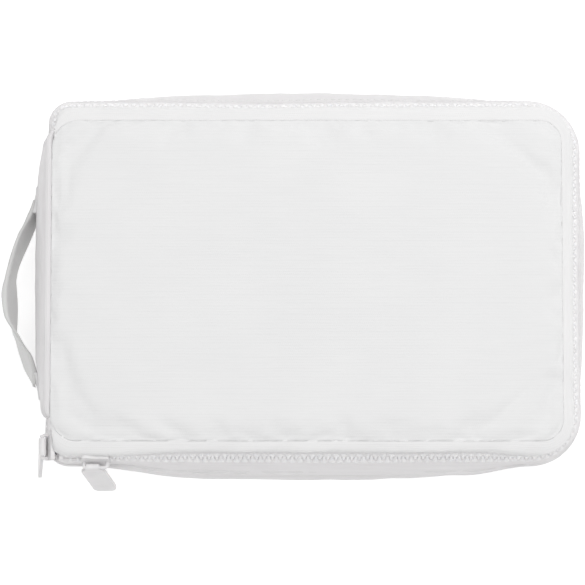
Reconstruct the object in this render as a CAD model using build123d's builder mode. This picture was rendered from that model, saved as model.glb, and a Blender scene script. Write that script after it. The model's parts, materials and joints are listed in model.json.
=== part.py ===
"""A prayer book zipped inside its padded cloth cover, lying on its back.

Millimetres, +Z up. The origin is the middle of the back panel's rest face. +X runs from the
spine to the fore edge, and Y runs along the spine.
"""

from build123d import *
from math import cos, pi, radians, sin
import os

os.makedirs("parts", exist_ok=True)

# Cover: the front panel between its seams
seam_length = 225.5
seam_width = 142.0
spine_corner = 17.0
fore_corner = 10.0
padding_softer = 4.0

# Layers
cloth = 0.8
foam = 3.0
spine_foam_thickness = 1.8
lining = 0.6
sleeve_cloth = 0.5
tape = 0.5
panel_roll = 0.7
panel_edge_round = 0.7

# Book
page_height = 28.9
board = 2.4
board_square = 2.0
board_reach = 4.0
board_setback = 8.6
book_side_play = 4.5
book_fore_play = 5.7
book_spine_play = 7.8
sleeve_share = 0.6
spine_board = 2.0
spine_cloth = 0.6
endpaper = 0.2
leaves = 1.2
headband_depth = 2.2
headband_rise = 1.6
headband_inset = 1.0
spine_board_short = 1.0

# Clearances between layers and around moving pieces
ply_gap = 0.05
soft_gap = 0.3
leaf_gap = 0.1
swing_gap = 0.15
least_bow = 0.01

# Side walls: how far each edge stands out from the front seam, and how far the walls belly
foot_offset = 4.5
long_belly = 2.0
long_bow = 7.2
fore_belly = 2.0
fore_bow = 4.0
spine_belly = 3.0
spine_bow = 1.0
corner_belly = 1.0
fore_corner_soft = 4.0
wall_steps = 5
lower_tape_drop = 6.65
upper_tape_rise = 4.35
upper_curve = 0.35
flap_lap = 1.3
belt_play = 0.2
spine_end_play = 13.0
spine_out = 4.75
spine_return = 6.0

# Zipper
chain_out_long = 6.5
chain_out_fore = 5.25
chain_in_spine = 1.25
chain_lean = 22.0
chain_end_play = 1.5
chain_spine_corner = 6.0
chain_fore_corner = 19.0
tooth_pitch = 3.5
tooth_width = 1.4
tooth_length = 4.2
tooth_thick = 2.2
tooth_reach = 1.1
stop_width = 1.6
stop_length = 2.4
tape_gap_more = 1.0

# Sliders
slider_length = 12.0
slider_wide_end = 9.8
slider_narrow_end = 8.5
slider_channel = 3.2
slider_slot = 2.2
flange = 1.2
rim = 0.85
post_length = 2.0
post_width = 2.2
slider_round = 1.1
flare_start = 0.6
bail_wire = 1.5
bail_reach = 11.6
bail_stand = 2.5
bail_bend = 0.9
slider_bottom_inset = 18.5
slider_left_inset = 4.2

# Puller
barrel_wall = 0.9
pin_gap = 0.06
tab_length = 20.0
tab_width = 10.5
tab_thick = 1.6
tab_round = 2.6
tab_shoulder = 1.2
bottom_tab_out = 30.0
bottom_tab_skew = 14.0
bottom_tab_slide = -1.1
left_tab_out = 10.0
left_tab_skew = 34.0

# Handle
strap_width = 15.0
strap_thick = 2.8
strap_low_reach = 0.68
strap_top_share = 0.6
strap_low_share = 0.55
strap_reach = 10.7
strap_top_y = 30.0
strap_apex_y = -3.5
strap_low_y = -38.0
strap_droop = 20.0
strap_pivot_z = 14.0
strap_pivot_out = 3.1
sewn_length = 14.0
sewn_thick = 2.4
sewn_gap = 0.15
sewn_round = 1.5

# Rounding as a share of a section's short side
soft_round = 0.45
post_round = 0.4

# Cutting boxes, well past what they cut
spine_cut = 40.0
tape_end_cut = 30.0
open_corner_cut = 80.0

# Heights worked out from the layers, from the rest face up
back_foam_z = cloth
back_lining_z = back_foam_z + foam
back_board_z = back_lining_z + lining
back_paper_z = back_board_z + board + ply_gap
back_sleeve_z = back_paper_z + endpaper + ply_gap
page_z = back_sleeve_z + sleeve_cloth + ply_gap
page_top = page_z + page_height
hinge_z = page_top + leaf_gap
leaves_z = hinge_z + swing_gap
front_sleeve_z = leaves_z + leaves + leaf_gap
front_paper_z = front_sleeve_z + sleeve_cloth + ply_gap
front_board_z = front_paper_z + endpaper + ply_gap
front_lining_z = front_board_z + board
front_foam_z = front_lining_z + lining
front_cloth_z = front_foam_z + foam
case_top = front_cloth_z + cloth

# Places worked out from the sizes
seam_x = seam_length / 2
seam_y = seam_width / 2
hinge_x = -(seam_x + spine_out)
board_right = seam_x - book_fore_play
page_right = board_right - board_reach
page_left = -(seam_x - book_spine_play)
board_left = page_left + board_setback
board_width = seam_width - 2 * book_side_play
page_width = board_width - 2 * board_square
slider_depth = slider_channel + 2 * flange
upper_ply = 2 * cloth
barrel_room = bail_reach - bail_wire - 2 * bail_bend - 2 * soft_gap
chain_y = seam_y + chain_out_long
chain_left = -(seam_x - chain_in_spine)
chain_right = seam_x + chain_out_fore
spine_half = seam_y - spine_end_play
chain_end = spine_half + chain_end_play
slider_bottom_x = chain_left + slider_bottom_inset
slider_left_y = -(chain_y - slider_left_inset)
wall_top = hinge_z - lower_tape_drop
upper_edge_z = hinge_z + upper_tape_rise
belt_top = hinge_z - (case_top - hinge_z) - belt_play


def side(start, end, bow):
    """One side of a plan outline, bowed outward at its middle."""
    if abs(bow) < least_bow:
        Line(start, end)
        return
    run = Vector(*end) - Vector(*start)
    outward = Vector(run.Y, -run.X).normalized() * bow
    ThreePointArc(start, (Vector(*start) + Vector(*end)) * 0.5 + outward, end)


def corner(center, radius, start_angle):
    """A quarter turn, counterclockwise."""
    CenterArc(center, radius, start_angle, 90)


def plan(z, left, right, half, spine_radius, fore_radius, bows=(0, 0, 0)):
    """A closed plan outline at height z; bows are for the long sides, fore edge and spine."""
    long_bow_here, fore_bow_here, spine_bow_here = bows
    with BuildSketch(Plane.XY.offset(z)) as outline:
        with BuildLine():
            side((left + spine_radius, -half), (right - fore_radius, -half), long_bow_here)
            corner((right - fore_radius, -half + fore_radius), fore_radius, -90)
            side((right, -half + fore_radius), (right, half - fore_radius), fore_bow_here)
            corner((right - fore_radius, half - fore_radius), fore_radius, 0)
            side((right - fore_radius, half), (left + spine_radius, half), long_bow_here)
            corner((left + spine_radius, half - spine_radius), spine_radius, 90)
            side((left, half - spine_radius), (left, -half + spine_radius), spine_bow_here)
            corner((left + spine_radius, -half + spine_radius), spine_radius, 180)
        make_face()
    return outline.sketch


def seam_plan(z, offset, softer=0.0):
    """The front seam's outline at height z, moved out by offset, its spine corners rounder by softer."""
    return plan(
        z,
        -(seam_x + offset),
        seam_x + offset,
        seam_y + offset,
        spine_corner + offset + softer,
        fore_corner + offset,
    )


def chain_out(z):
    """How far the leaning zipper tape stands outside the chain's centre at height z."""
    return (hinge_z - z) * sin(radians(chain_lean)) / cos(radians(chain_lean))


def chain_plan(z, inset=0.0):
    """The zipper tape's outline at height z."""
    out = chain_out(z) + tape / 2 - inset
    return plan(
        z,
        chain_left - out,
        chain_right + out,
        chain_y + out,
        chain_spine_corner + out,
        chain_fore_corner + out,
    )


def wall_plan(z, inset=0.0):
    """The lower gusset's outline at height z."""
    share = (z - cloth - ply_gap) / (wall_top - cloth - ply_gap)
    swell = sin(pi * share)
    top_out = chain_out(wall_top) + tape / 2 + cloth / 2
    long_out = foot_offset + (chain_out_long + top_out - foot_offset) * share + long_belly * swell
    fore_out = foot_offset + (chain_out_fore + top_out - foot_offset) * share + fore_belly * swell
    spine_side = foot_offset + (top_out - chain_in_spine - foot_offset) * share + corner_belly * swell
    top_corner = chain_spine_corner + top_out
    foot_corner = spine_corner + foot_offset
    top_fore = chain_fore_corner + top_out
    foot_fore = fore_corner + foot_offset
    return plan(
        z,
        -(seam_x + spine_side) + inset,
        seam_x + fore_out - inset,
        seam_y + long_out - inset,
        foot_corner + (top_corner - foot_corner) * share - inset,
        foot_fore + (top_fore - foot_fore) * share + fore_corner_soft * swell - inset,
        (long_bow * swell, fore_bow * swell, 0),
    )


def heights(low, high, steps):
    """Even heights from low to high."""
    return [low + (high - low) * i / steps for i in range(steps + 1)]


def spine_plan(z, inset=0.0):
    """The spine wall's outline at height z; it bellies below the belt and is upright above it."""
    share = min(1.0, (z - cloth) / (belt_top - cloth))
    swell = sin(pi * share)
    out = foot_offset + (spine_out - foot_offset) * share + spine_belly * swell
    with BuildSketch(Plane.XY.offset(z)) as outline:
        with BuildLine():
            side((-seam_x + spine_return, spine_half), (-(seam_x + out) + inset, spine_half), 0)
            side(
                (-(seam_x + out) + inset, spine_half),
                (-(seam_x + out) + inset, -spine_half),
                spine_bow * swell,
            )
            side((-(seam_x + out) + inset, -spine_half), (-seam_x + spine_return, -spine_half), 0)
            side((-seam_x + spine_return, -spine_half), (-seam_x + spine_return, spine_half), 0)
        make_face()
    return outline.sketch


def spine_heights():
    """Section heights of the spine wall, with one at the belt."""
    return heights(cloth + ply_gap, belt_top, wall_steps) + [hinge_z - swing_gap]


def chain_frame(position, tangent):
    """The plane of one tooth or slider: x along the chain, z outward through the tape."""
    outward = Vector(tangent.Y, -tangent.X, 0)
    lean = radians(chain_lean)
    return Plane(
        origin=position,
        x_dir=(tangent.X, tangent.Y, 0),
        z_dir=outward * cos(lean) + Vector(0, 0, sin(lean)),
    )


with BuildLine() as chain:
    chain_bottom_left = (chain_left + chain_spine_corner, -chain_y + chain_spine_corner)
    chain_bottom_right = (chain_right - chain_fore_corner, -chain_y + chain_fore_corner)
    chain_top_right = (chain_right - chain_fore_corner, chain_y - chain_fore_corner)
    chain_top_left = (chain_left + chain_spine_corner, chain_y - chain_spine_corner)
    Line((chain_left, -chain_end), (chain_left, -chain_y + chain_spine_corner))
    corner(chain_bottom_left, chain_spine_corner, 180)
    Line(
        (chain_left + chain_spine_corner, -chain_y),
        (chain_right - chain_fore_corner, -chain_y),
    )
    corner(chain_bottom_right, chain_fore_corner, 270)
    Line(
        (chain_right, -chain_y + chain_fore_corner),
        (chain_right, chain_y - chain_fore_corner),
    )
    corner(chain_top_right, chain_fore_corner, 0)
    Line(
        (chain_right - chain_fore_corner, chain_y),
        (chain_left + chain_spine_corner, chain_y),
    )
    corner(chain_top_left, chain_spine_corner, 90)
    Line((chain_left, chain_y - chain_spine_corner), (chain_left, chain_end))

chain_wire = chain.wire().moved(Location((0, 0, hinge_z)))


def in_open_corner(point):
    """Whether a point of the chain is inside a slider or in the opened corner between them."""
    past_left = point.Y < slider_left_y + slider_length / 2 + tooth_width
    before_bottom = point.X < slider_bottom_x + slider_length / 2 + tooth_width
    return past_left and before_bottom


def tooth_frames(first):
    """The planes of one row's teeth, from a distance past the chain's end."""
    frames = []
    distance = first
    while distance + tooth_width / 2 < chain_wire.length - stop_width - ply_gap:
        point = chain_wire.position_at(distance, position_mode=PositionMode.LENGTH)
        tangent = chain_wire.tangent_at(distance, position_mode=PositionMode.LENGTH)
        if not in_open_corner(point):
            frames.append(chain_frame(point, tangent))
        distance += tooth_pitch
    return frames


def stop_frames():
    """The planes of the two stops at the chain's ends."""
    length = chain_wire.length
    return [
        chain_frame(
            chain_wire.position_at(d, position_mode=PositionMode.LENGTH),
            chain_wire.tangent_at(d, position_mode=PositionMode.LENGTH),
        )
        for d in (stop_width / 2, length - stop_width / 2)
    ]


first_tooth = stop_width + tooth_width
tooth_middle = tooth_length / 2 - tooth_reach
tooth_edge = (tooth_length - tooth_reach) * cos(radians(chain_lean)) + tape * sin(radians(chain_lean))

# ---------------------------------------------------------------- back of the cover

with BuildPart() as back_panel_cover:
    extrude(seam_plan(0, foot_offset), amount=cloth)
back_panel_cover.part.label = "back_panel_cover"
export_step(back_panel_cover.part, "parts/back_panel_cover.step")

back_inset = cloth + lining + soft_gap

with BuildPart() as back_panel_foam:
    extrude(seam_plan(back_foam_z, foot_offset - back_inset), amount=foam)
back_panel_foam.part.label = "back_panel_foam"
export_step(back_panel_foam.part, "parts/back_panel_foam.step")

with BuildPart() as back_panel_lining:
    extrude(seam_plan(back_lining_z, foot_offset - back_inset), amount=lining)
back_panel_lining.part.label = "back_panel_lining"
export_step(back_panel_lining.part, "parts/back_panel_lining.step")


def sleeve(floor_z, ceiling_z, cloth_low):
    """A pocket that holds a board's fore half: one ply and a rim on three sides, open to the spine."""
    mouth = board_right - (board_right - board_left) * sleeve_share
    inner_right = board_right + soft_gap
    inner_half = board_width / 2 + soft_gap
    middle = (mouth + inner_right + sleeve_cloth) / 2
    length = inner_right + sleeve_cloth - mouth
    height = ceiling_z - floor_z
    with Locations((middle, 0, floor_z)):
        Box(
            length,
            2 * (inner_half + sleeve_cloth),
            height,
            align=(Align.CENTER, Align.CENTER, Align.MIN),
        )
    with Locations((mouth, 0, cloth_low)):
        Box(
            inner_right - mouth,
            2 * inner_half,
            height - sleeve_cloth,
            align=(Align.MIN, Align.CENTER, Align.MIN),
            mode=Mode.SUBTRACT,
        )


with BuildPart() as back_sleeve:
    sleeve(back_board_z, back_sleeve_z + sleeve_cloth, back_board_z)
back_sleeve.part.label = "back_sleeve"
export_step(back_sleeve.part, "parts/back_sleeve.step")

gusset_heights = heights(cloth + ply_gap, wall_top, wall_steps)


def spine_notch():
    """Leaves the spine's stretch out of a wall that runs round the other three sides."""
    with Locations((-seam_x, 0, 0)):
        Box(
            spine_cut,
            2 * (spine_half + soft_gap),
            4 * case_top,
            mode=Mode.SUBTRACT,
        )


with BuildPart() as lower_gusset:
    loft([wall_plan(z) for z in gusset_heights], ruled=True)
    loft([wall_plan(z, cloth) for z in gusset_heights], ruled=True, mode=Mode.SUBTRACT)
    spine_notch()
lower_gusset.part.label = "lower_gusset"
export_step(lower_gusset.part, "parts/lower_gusset.step")

with BuildPart() as lower_gusset_lining:
    loft([wall_plan(z, cloth) for z in gusset_heights], ruled=True)
    loft([wall_plan(z, cloth + lining) for z in gusset_heights], ruled=True, mode=Mode.SUBTRACT)
    spine_notch()
lower_gusset_lining.part.label = "lower_gusset_lining"
export_step(lower_gusset_lining.part, "parts/lower_gusset_lining.step")


def spine_ply(depth, thickness):
    """One layer of the spine wall, its outer face at depth under the outside."""
    loft([spine_plan(z, depth) for z in spine_heights()], ruled=True)
    loft([spine_plan(z, depth + thickness) for z in spine_heights()], ruled=True, mode=Mode.SUBTRACT)


def above_back_padding():
    """Keeps only what stands above the back panel's padding and lining."""
    with Locations((-seam_x, 0, back_board_z + ply_gap)):
        Box(
            spine_cut,
            3 * spine_half,
            case_top,
            align=(Align.CENTER, Align.CENTER, Align.MIN),
            mode=Mode.INTERSECT,
        )


with BuildPart() as spine_panel:
    spine_ply(0, cloth)
spine_panel.part.label = "spine_panel"
export_step(spine_panel.part, "parts/spine_panel.step")

with BuildPart() as spine_foam:
    spine_ply(cloth, spine_foam_thickness)
    above_back_padding()
spine_foam.part.label = "spine_foam"
export_step(spine_foam.part, "parts/spine_foam.step")

with BuildPart() as spine_lining:
    spine_ply(cloth + spine_foam_thickness, lining)
    above_back_padding()
spine_lining.part.label = "spine_lining"
export_step(spine_lining.part, "parts/spine_lining.step")

# ---------------------------------------------------------------- zipper

lower_tape_heights = (wall_top + ply_gap, hinge_z - tooth_edge - ply_gap)
upper_tape_heights = (hinge_z + tooth_edge + ply_gap, upper_edge_z - ply_gap)


def tape_ring(low_high):
    """A band of zipper tape round three sides, ending at the chain's ends."""
    loft([chain_plan(z) for z in low_high], ruled=True)
    loft([chain_plan(z, tape) for z in low_high], ruled=True, mode=Mode.SUBTRACT)
    with Locations((chain_left, 0, hinge_z)):
        Box(tape_end_cut, 2 * chain_end, case_top, mode=Mode.SUBTRACT)


with BuildPart() as zipper_tape_lower:
    tape_ring(lower_tape_heights)
    with Locations((chain_left, -chain_y, hinge_z)):
        Box(
            2 * (chain_spine_corner + tape_gap_more),
            2 * (chain_spine_corner - tape_gap_more),
            case_top,
            mode=Mode.SUBTRACT,
        )
zipper_tape_lower.part.label = "zipper_tape_lower"
export_step(zipper_tape_lower.part, "parts/zipper_tape_lower.step")

with BuildPart() as zipper_tape_upper:
    tape_ring(upper_tape_heights)
    corner_right = slider_bottom_x + slider_length / 2 + soft_gap
    corner_top = slider_left_y + slider_length / 2 + soft_gap
    with Locations((corner_right, corner_top, hinge_z)):
        Box(
            open_corner_cut,
            open_corner_cut,
            case_top,
            align=(Align.MAX, Align.MAX, Align.CENTER),
            mode=Mode.SUBTRACT,
        )
zipper_tape_upper.part.label = "zipper_tape_upper"
export_step(zipper_tape_upper.part, "parts/zipper_tape_upper.step")


def tooth_row(first, shift):
    """One row of teeth, its middle line shifted along the tape's width."""
    with Locations(*[frame.location for frame in tooth_frames(first)]):
        with Locations((0, shift, 0)):
            Box(tooth_width, tooth_length, tooth_thick)


with BuildPart() as zipper_teeth_lower:
    tooth_row(first_tooth, -tooth_middle)
zipper_teeth_lower.part.label = "zipper_teeth_lower"
export_step(zipper_teeth_lower.part, "parts/zipper_teeth_lower.step")

with BuildPart() as zipper_teeth_upper:
    tooth_row(first_tooth + tooth_pitch / 2, tooth_middle)
zipper_teeth_upper.part.label = "zipper_teeth_upper"
export_step(zipper_teeth_upper.part, "parts/zipper_teeth_upper.step")


def stop_pair(shift):
    """The two stops of one tape."""
    with Locations(*[frame.location for frame in stop_frames()]):
        with Locations((0, shift, 0)):
            Box(stop_width, stop_length, tooth_thick)


stop_shift = tooth_length - tooth_reach - stop_length / 2

with BuildPart() as zipper_stops_lower:
    stop_pair(-stop_shift)
zipper_stops_lower.part.label = "zipper_stops_lower"
export_step(zipper_stops_lower.part, "parts/zipper_stops_lower.step")

with BuildPart() as zipper_stops_upper:
    stop_pair(stop_shift)
zipper_stops_upper.part.label = "zipper_stops_upper"
export_step(zipper_stops_upper.part, "parts/zipper_stops_upper.step")

# ---------------------------------------------------------------- sliders and pullers


def plate_outline(plane, channel=0.0):
    """A slider plate's outline, wide at the open end; a channel width leaves only its two rims."""
    wide = slider_wide_end / 2
    narrow = slider_narrow_end / 2
    half = slider_length / 2
    with BuildSketch(plane) as outline:
        with BuildLine():
            Polyline(
                (-half, -narrow),
                (0, -narrow),
                (half * flare_start, -wide),
                (half, -wide),
                (half, wide),
                (half * flare_start, wide),
                (0, narrow),
                (-half, narrow),
                close=True,
            )
        make_face()
        fillet(outline.vertices(), slider_round)
        if channel:
            Rectangle(2 * slider_length, channel, mode=Mode.SUBTRACT)
    return outline.sketch


def slider_body(frame):
    """Two plates joined by a post, with rims that keep the teeth in and let the tapes out."""
    outer = slider_channel / 2
    for direction in (1, -1):
        extrude(plate_outline(frame.offset(direction * outer)), amount=direction * flange)
        rims = plate_outline(frame.offset(direction * slider_slot / 2), slider_narrow_end - 2 * rim)
        extrude(rims, amount=direction * (slider_channel - slider_slot) / 2)
    post_x = slider_length / 2 - post_length
    with BuildSketch(frame.offset(-outer)) as post:
        with Locations((post_x, 0)):
            RectangleRounded(post_length, post_width, post_width * post_round)
    extrude(post.sketch, amount=slider_channel)


def bail_arch(frame):
    """A wire arch along the slider, standing on its outer plate."""
    foot = slider_depth / 2
    axis = foot + bail_stand
    half = (bail_reach - bail_wire) / 2
    side_plane = Plane(origin=frame.origin, x_dir=frame.x_dir, z_dir=-frame.y_dir)
    with BuildLine(side_plane) as line:
        FilletPolyline((-half, foot), (-half, axis), (half, axis), (half, foot), radius=bail_bend)
    with BuildSketch(Plane(origin=line.line @ 0, z_dir=line.line % 0)) as wire:
        Circle(bail_wire / 2)
    sweep(wire.sketch, path=line.line)


def puller(frame, swing, skew, slide=0.0):
    """A barrel that has slid along the bail's bar, and a tab that hangs from it, skewed along the bar."""
    along = Vector(frame.x_dir.X, frame.x_dir.Y, 0).normalized()
    axis = frame.origin + frame.z_dir * (slider_depth / 2 + bail_stand) + along * slide
    barrel_length = barrel_room - 2 * abs(slide)
    outward = Vector(frame.z_dir.X, frame.z_dir.Y, 0).normalized()
    down = outward * sin(radians(swing)) - Vector(0, 0, cos(radians(swing)))
    face = Plane(origin=axis, x_dir=along, z_dir=along.cross(down))
    outer = bail_wire / 2 + pin_gap + barrel_wall
    shift = tab_length * sin(radians(skew))
    drop = tab_length * cos(radians(skew))
    half = tab_width / 2
    with BuildSketch(face.offset(-tab_thick / 2)) as tab:
        with BuildLine():
            Polyline(
                (-barrel_length / 2, 0),
                (-half, outer + tab_shoulder),
                (shift - half, drop),
                (shift + half, drop),
                (half, outer + tab_shoulder),
                (barrel_length / 2, 0),
                close=True,
            )
        make_face()
        fillet(tab.vertices().sort_by(Axis.Y)[-2:], tab_round)
    extrude(tab.sketch, amount=tab_thick)
    barrel_plane = Plane(origin=axis - along * (barrel_length / 2), z_dir=along)
    with BuildSketch(barrel_plane) as barrel:
        Circle(outer)
    extrude(barrel.sketch, amount=barrel_length)
    with BuildSketch(barrel_plane.offset(-barrel_wall)) as bore:
        Circle(bail_wire / 2 + pin_gap)
    extrude(bore.sketch, amount=barrel_length + 2 * barrel_wall, mode=Mode.SUBTRACT)


bottom_frame = chain_frame(Vector(slider_bottom_x, -chain_y, hinge_z), Vector(1, 0, 0))
bottom_body_frame = Plane(origin=bottom_frame.origin, x_dir=-bottom_frame.x_dir, z_dir=bottom_frame.z_dir)
left_frame = chain_frame(Vector(chain_left, slider_left_y, hinge_z), Vector(0, -1, 0))

with BuildPart() as slider_bottom_body:
    slider_body(bottom_body_frame)
slider_bottom_body.part.label = "slider_bottom_body"
export_step(slider_bottom_body.part, "parts/slider_bottom_body.step")

with BuildPart() as slider_bottom_bail:
    bail_arch(bottom_frame)
slider_bottom_bail.part.label = "slider_bottom_bail"
export_step(slider_bottom_bail.part, "parts/slider_bottom_bail.step")

with BuildPart() as puller_bottom:
    puller(bottom_frame, bottom_tab_out, bottom_tab_skew, bottom_tab_slide)
puller_bottom.part.label = "puller_bottom"
export_step(puller_bottom.part, "parts/puller_bottom.step")

with BuildPart() as slider_left_body:
    slider_body(left_frame)
slider_left_body.part.label = "slider_left_body"
export_step(slider_left_body.part, "parts/slider_left_body.step")

with BuildPart() as slider_left_bail:
    bail_arch(left_frame)
slider_left_bail.part.label = "slider_left_bail"
export_step(slider_left_bail.part, "parts/slider_left_bail.step")

with BuildPart() as puller_left:
    puller(left_frame, left_tab_out, left_tab_skew)
puller_left.part.label = "puller_left"
export_step(puller_left.part, "parts/puller_left.step")

# ---------------------------------------------------------------- front of the cover

with BuildPart() as front_panel_cover:
    extrude(seam_plan(front_cloth_z - panel_roll, 0), amount=panel_roll + cloth)
    extrude(seam_plan(front_cloth_z - panel_roll, -cloth), amount=panel_roll, mode=Mode.SUBTRACT)
    fillet(front_panel_cover.faces().sort_by(Axis.Z)[-1].edges(), cloth * panel_edge_round)
front_panel_cover.part.label = "front_panel_cover"
export_step(front_panel_cover.part, "parts/front_panel_cover.step")

front_inset = upper_ply + soft_gap

with BuildPart() as front_panel_foam:
    extrude(seam_plan(front_foam_z, -front_inset, padding_softer), amount=foam)
front_panel_foam.part.label = "front_panel_foam"
export_step(front_panel_foam.part, "parts/front_panel_foam.step")

with BuildPart() as front_panel_lining:
    extrude(seam_plan(front_lining_z, -front_inset, padding_softer), amount=lining)
front_panel_lining.part.label = "front_panel_lining"
export_step(front_panel_lining.part, "parts/front_panel_lining.step")

with BuildPart() as front_sleeve:
    sleeve(front_sleeve_z, front_lining_z, front_sleeve_z + sleeve_cloth)
front_sleeve.part.label = "front_sleeve"
export_step(front_sleeve.part, "parts/front_sleeve.step")

upper_seam_z = front_cloth_z - panel_roll - ply_gap


def upper_plan(share, inset):
    """The upper gusset's outline, from the zipper tape (0) up to the front seam (1)."""
    z = upper_edge_z + (upper_seam_z - upper_edge_z) * share
    tape_out = chain_out(upper_edge_z) + tape / 2 + cloth / 2
    curve = upper_curve * sin(pi * share)
    long_out = (chain_out_long + tape_out) * (1 - share) + curve * chain_out_long
    fore_out = (chain_out_fore + tape_out) * (1 - share) + curve * chain_out_fore
    spine_side = (tape_out - chain_in_spine) * (1 - share)
    lower_corner = chain_spine_corner + tape_out
    lower_fore = chain_fore_corner + tape_out
    return plan(
        z,
        -(seam_x + spine_side) + inset,
        seam_x + fore_out - inset,
        seam_y + long_out - inset,
        lower_corner + (spine_corner - lower_corner) * share - inset,
        lower_fore + (fore_corner - lower_fore) * share - inset,
    )


upper_shares = (0, 0.5, 1)


with BuildPart() as upper_gusset:
    loft([upper_plan(share, 0) for share in upper_shares], ruled=True)
    loft([upper_plan(share, upper_ply) for share in upper_shares], ruled=True, mode=Mode.SUBTRACT)
    spine_notch()
upper_gusset.part.label = "upper_gusset"
export_step(upper_gusset.part, "parts/upper_gusset.step")

with BuildPart() as spine_flap:
    outer_low = (hinge_x + ply_gap, hinge_z + swing_gap)
    outer_high = (-seam_x, upper_seam_z)
    inner_low = (outer_low[0] + cloth, outer_low[1])
    inner_high = (outer_high[0], outer_high[1] - flap_lap * cloth)
    with BuildSketch(Plane.XZ) as flap_section:
        with BuildLine():
            TangentArc(outer_low, outer_high, tangent=(0, 1))
            Line(outer_high, inner_high)
            TangentArc(inner_low, inner_high, tangent=(0, 1))
            Line(inner_low, outer_low)
        make_face()
    extrude(flap_section.sketch, amount=spine_half, both=True)
spine_flap.part.label = "spine_flap"
export_step(spine_flap.part, "parts/spine_flap.step")

# ---------------------------------------------------------------- handle

pivot_x = hinge_x - spine_belly - spine_bow - strap_pivot_out
pivot = Vector(pivot_x, 0, strap_pivot_z)
droop = radians(strap_droop)
strap_plane = Plane(
    origin=pivot,
    x_dir=(-cos(droop), 0, -sin(droop)),
    z_dir=(-sin(droop), 0, cos(droop)),
)

with BuildPart() as handle_strap:
    with BuildLine(strap_plane) as strap_line:
        Spline(
            (0, -strap_top_y),
            (strap_reach / 2, -(strap_apex_y + (strap_top_y - strap_apex_y) * strap_top_share)),
            (strap_reach, -strap_apex_y),
            (
                strap_reach * strap_low_reach,
                -(strap_apex_y + (strap_low_y - strap_apex_y) * strap_low_share),
            ),
            (0, -strap_low_y),
        )
    with BuildSketch(Plane(origin=strap_line.line @ 0, x_dir=strap_plane.z_dir, z_dir=strap_line.line % 0)):
        RectangleRounded(strap_width, strap_thick, strap_thick * soft_round)
    sweep(path=strap_line.line)
    with Locations((pivot_x, (strap_top_y + strap_low_y) / 2, strap_pivot_z)):
        Box(
            3 * strap_reach,
            strap_top_y - strap_low_y,
            3 * strap_width,
            align=(Align.MAX, Align.CENTER, Align.CENTER),
            mode=Mode.INTERSECT,
        )
handle_strap.part.label = "handle_strap"
export_step(handle_strap.part, "parts/handle_strap.step")


def sewn_end(y_low):
    """A strap end laid flat on the spine and sewn down."""
    with Locations((hinge_x - spine_belly - spine_bow - sewn_gap, y_low, strap_pivot_z)):
        Box(
            sewn_thick,
            sewn_length,
            strap_width,
            align=(Align.MAX, Align.MIN, Align.CENTER),
        )


with BuildPart() as handle_end_upper:
    sewn_end(strap_top_y + soft_gap)
    fillet(handle_end_upper.edges().filter_by(Axis.X), sewn_round)
handle_end_upper.part.label = "handle_end_upper"
export_step(handle_end_upper.part, "parts/handle_end_upper.step")

with BuildPart() as handle_end_lower:
    sewn_end(strap_low_y - soft_gap - sewn_length)
    fillet(handle_end_lower.edges().filter_by(Axis.X), sewn_round)
handle_end_lower.part.label = "handle_end_lower"
export_step(handle_end_lower.part, "parts/handle_end_lower.step")

# ---------------------------------------------------------------- book


def slab(left, right, half, low, thickness):
    """A flat rectangular piece of the book."""
    with Locations(((left + right) / 2, 0, low)):
        Box(right - left, 2 * half, thickness, align=(Align.CENTER, Align.CENTER, Align.MIN))


with BuildPart() as book_page_block:
    slab(page_left, page_right, page_width / 2, page_z, page_height)
book_page_block.part.label = "book_page_block"
export_step(book_page_block.part, "parts/book_page_block.step")

with BuildPart() as book_front_leaves:
    slab(page_left, page_right, page_width / 2, leaves_z, leaves)
book_front_leaves.part.label = "book_front_leaves"
export_step(book_front_leaves.part, "parts/book_front_leaves.step")

with BuildPart() as book_back_board:
    slab(board_left, board_right, board_width / 2, back_board_z, board)
    fillet(book_back_board.edges().filter_by(Axis.Z), board)
book_back_board.part.label = "book_back_board"
export_step(book_back_board.part, "parts/book_back_board.step")

with BuildPart() as book_front_board:
    slab(board_left, board_right, board_width / 2, front_board_z, board)
    fillet(book_front_board.edges().filter_by(Axis.Z), board)
book_front_board.part.label = "book_front_board"
export_step(book_front_board.part, "parts/book_front_board.step")

with BuildPart() as book_back_endpaper:
    slab(board_left, page_right, page_width / 2, back_paper_z, endpaper)
book_back_endpaper.part.label = "book_back_endpaper"
export_step(book_back_endpaper.part, "parts/book_back_endpaper.step")

with BuildPart() as book_front_endpaper:
    slab(board_left, page_right, page_width / 2, front_paper_z, endpaper)
book_front_endpaper.part.label = "book_front_endpaper"
export_step(book_front_endpaper.part, "parts/book_front_endpaper.step")

spine_right = page_left - ply_gap
spine_left = spine_right - spine_board

with BuildPart() as book_spine_board:
    slab(spine_left, spine_right, board_width / 2, page_z, page_height - spine_board_short)
book_spine_board.part.label = "book_spine_board"
export_step(book_spine_board.part, "parts/book_spine_board.step")

with BuildPart() as book_spine_cloth:
    cloth_left = spine_left - ply_gap - spine_cloth
    cloth_height = page_top - spine_board_short - back_board_z
    slab(cloth_left, spine_left - ply_gap, board_width / 2, back_board_z, cloth_height)
    slab(cloth_left, board_left - ply_gap, board_width / 2, back_board_z, spine_cloth)
book_spine_cloth.part.label = "book_spine_cloth"
export_step(book_spine_cloth.part, "parts/book_spine_cloth.step")


def headband(direction):
    """A rolled band of cloth glued to the page block's end, at the spine."""
    y = direction * (page_width / 2 + headband_rise / 2)
    with BuildSketch(Plane.XY.offset(page_z + headband_inset)) as band:
        with Locations((page_left + headband_depth / 2, y)):
            RectangleRounded(headband_depth, headband_rise, headband_rise * soft_round)
    extrude(band.sketch, amount=page_height - 2 * headband_inset)


with BuildPart() as book_headband_top:
    headband(1)
book_headband_top.part.label = "book_headband_top"
export_step(book_headband_top.part, "parts/book_headband_top.step")

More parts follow.
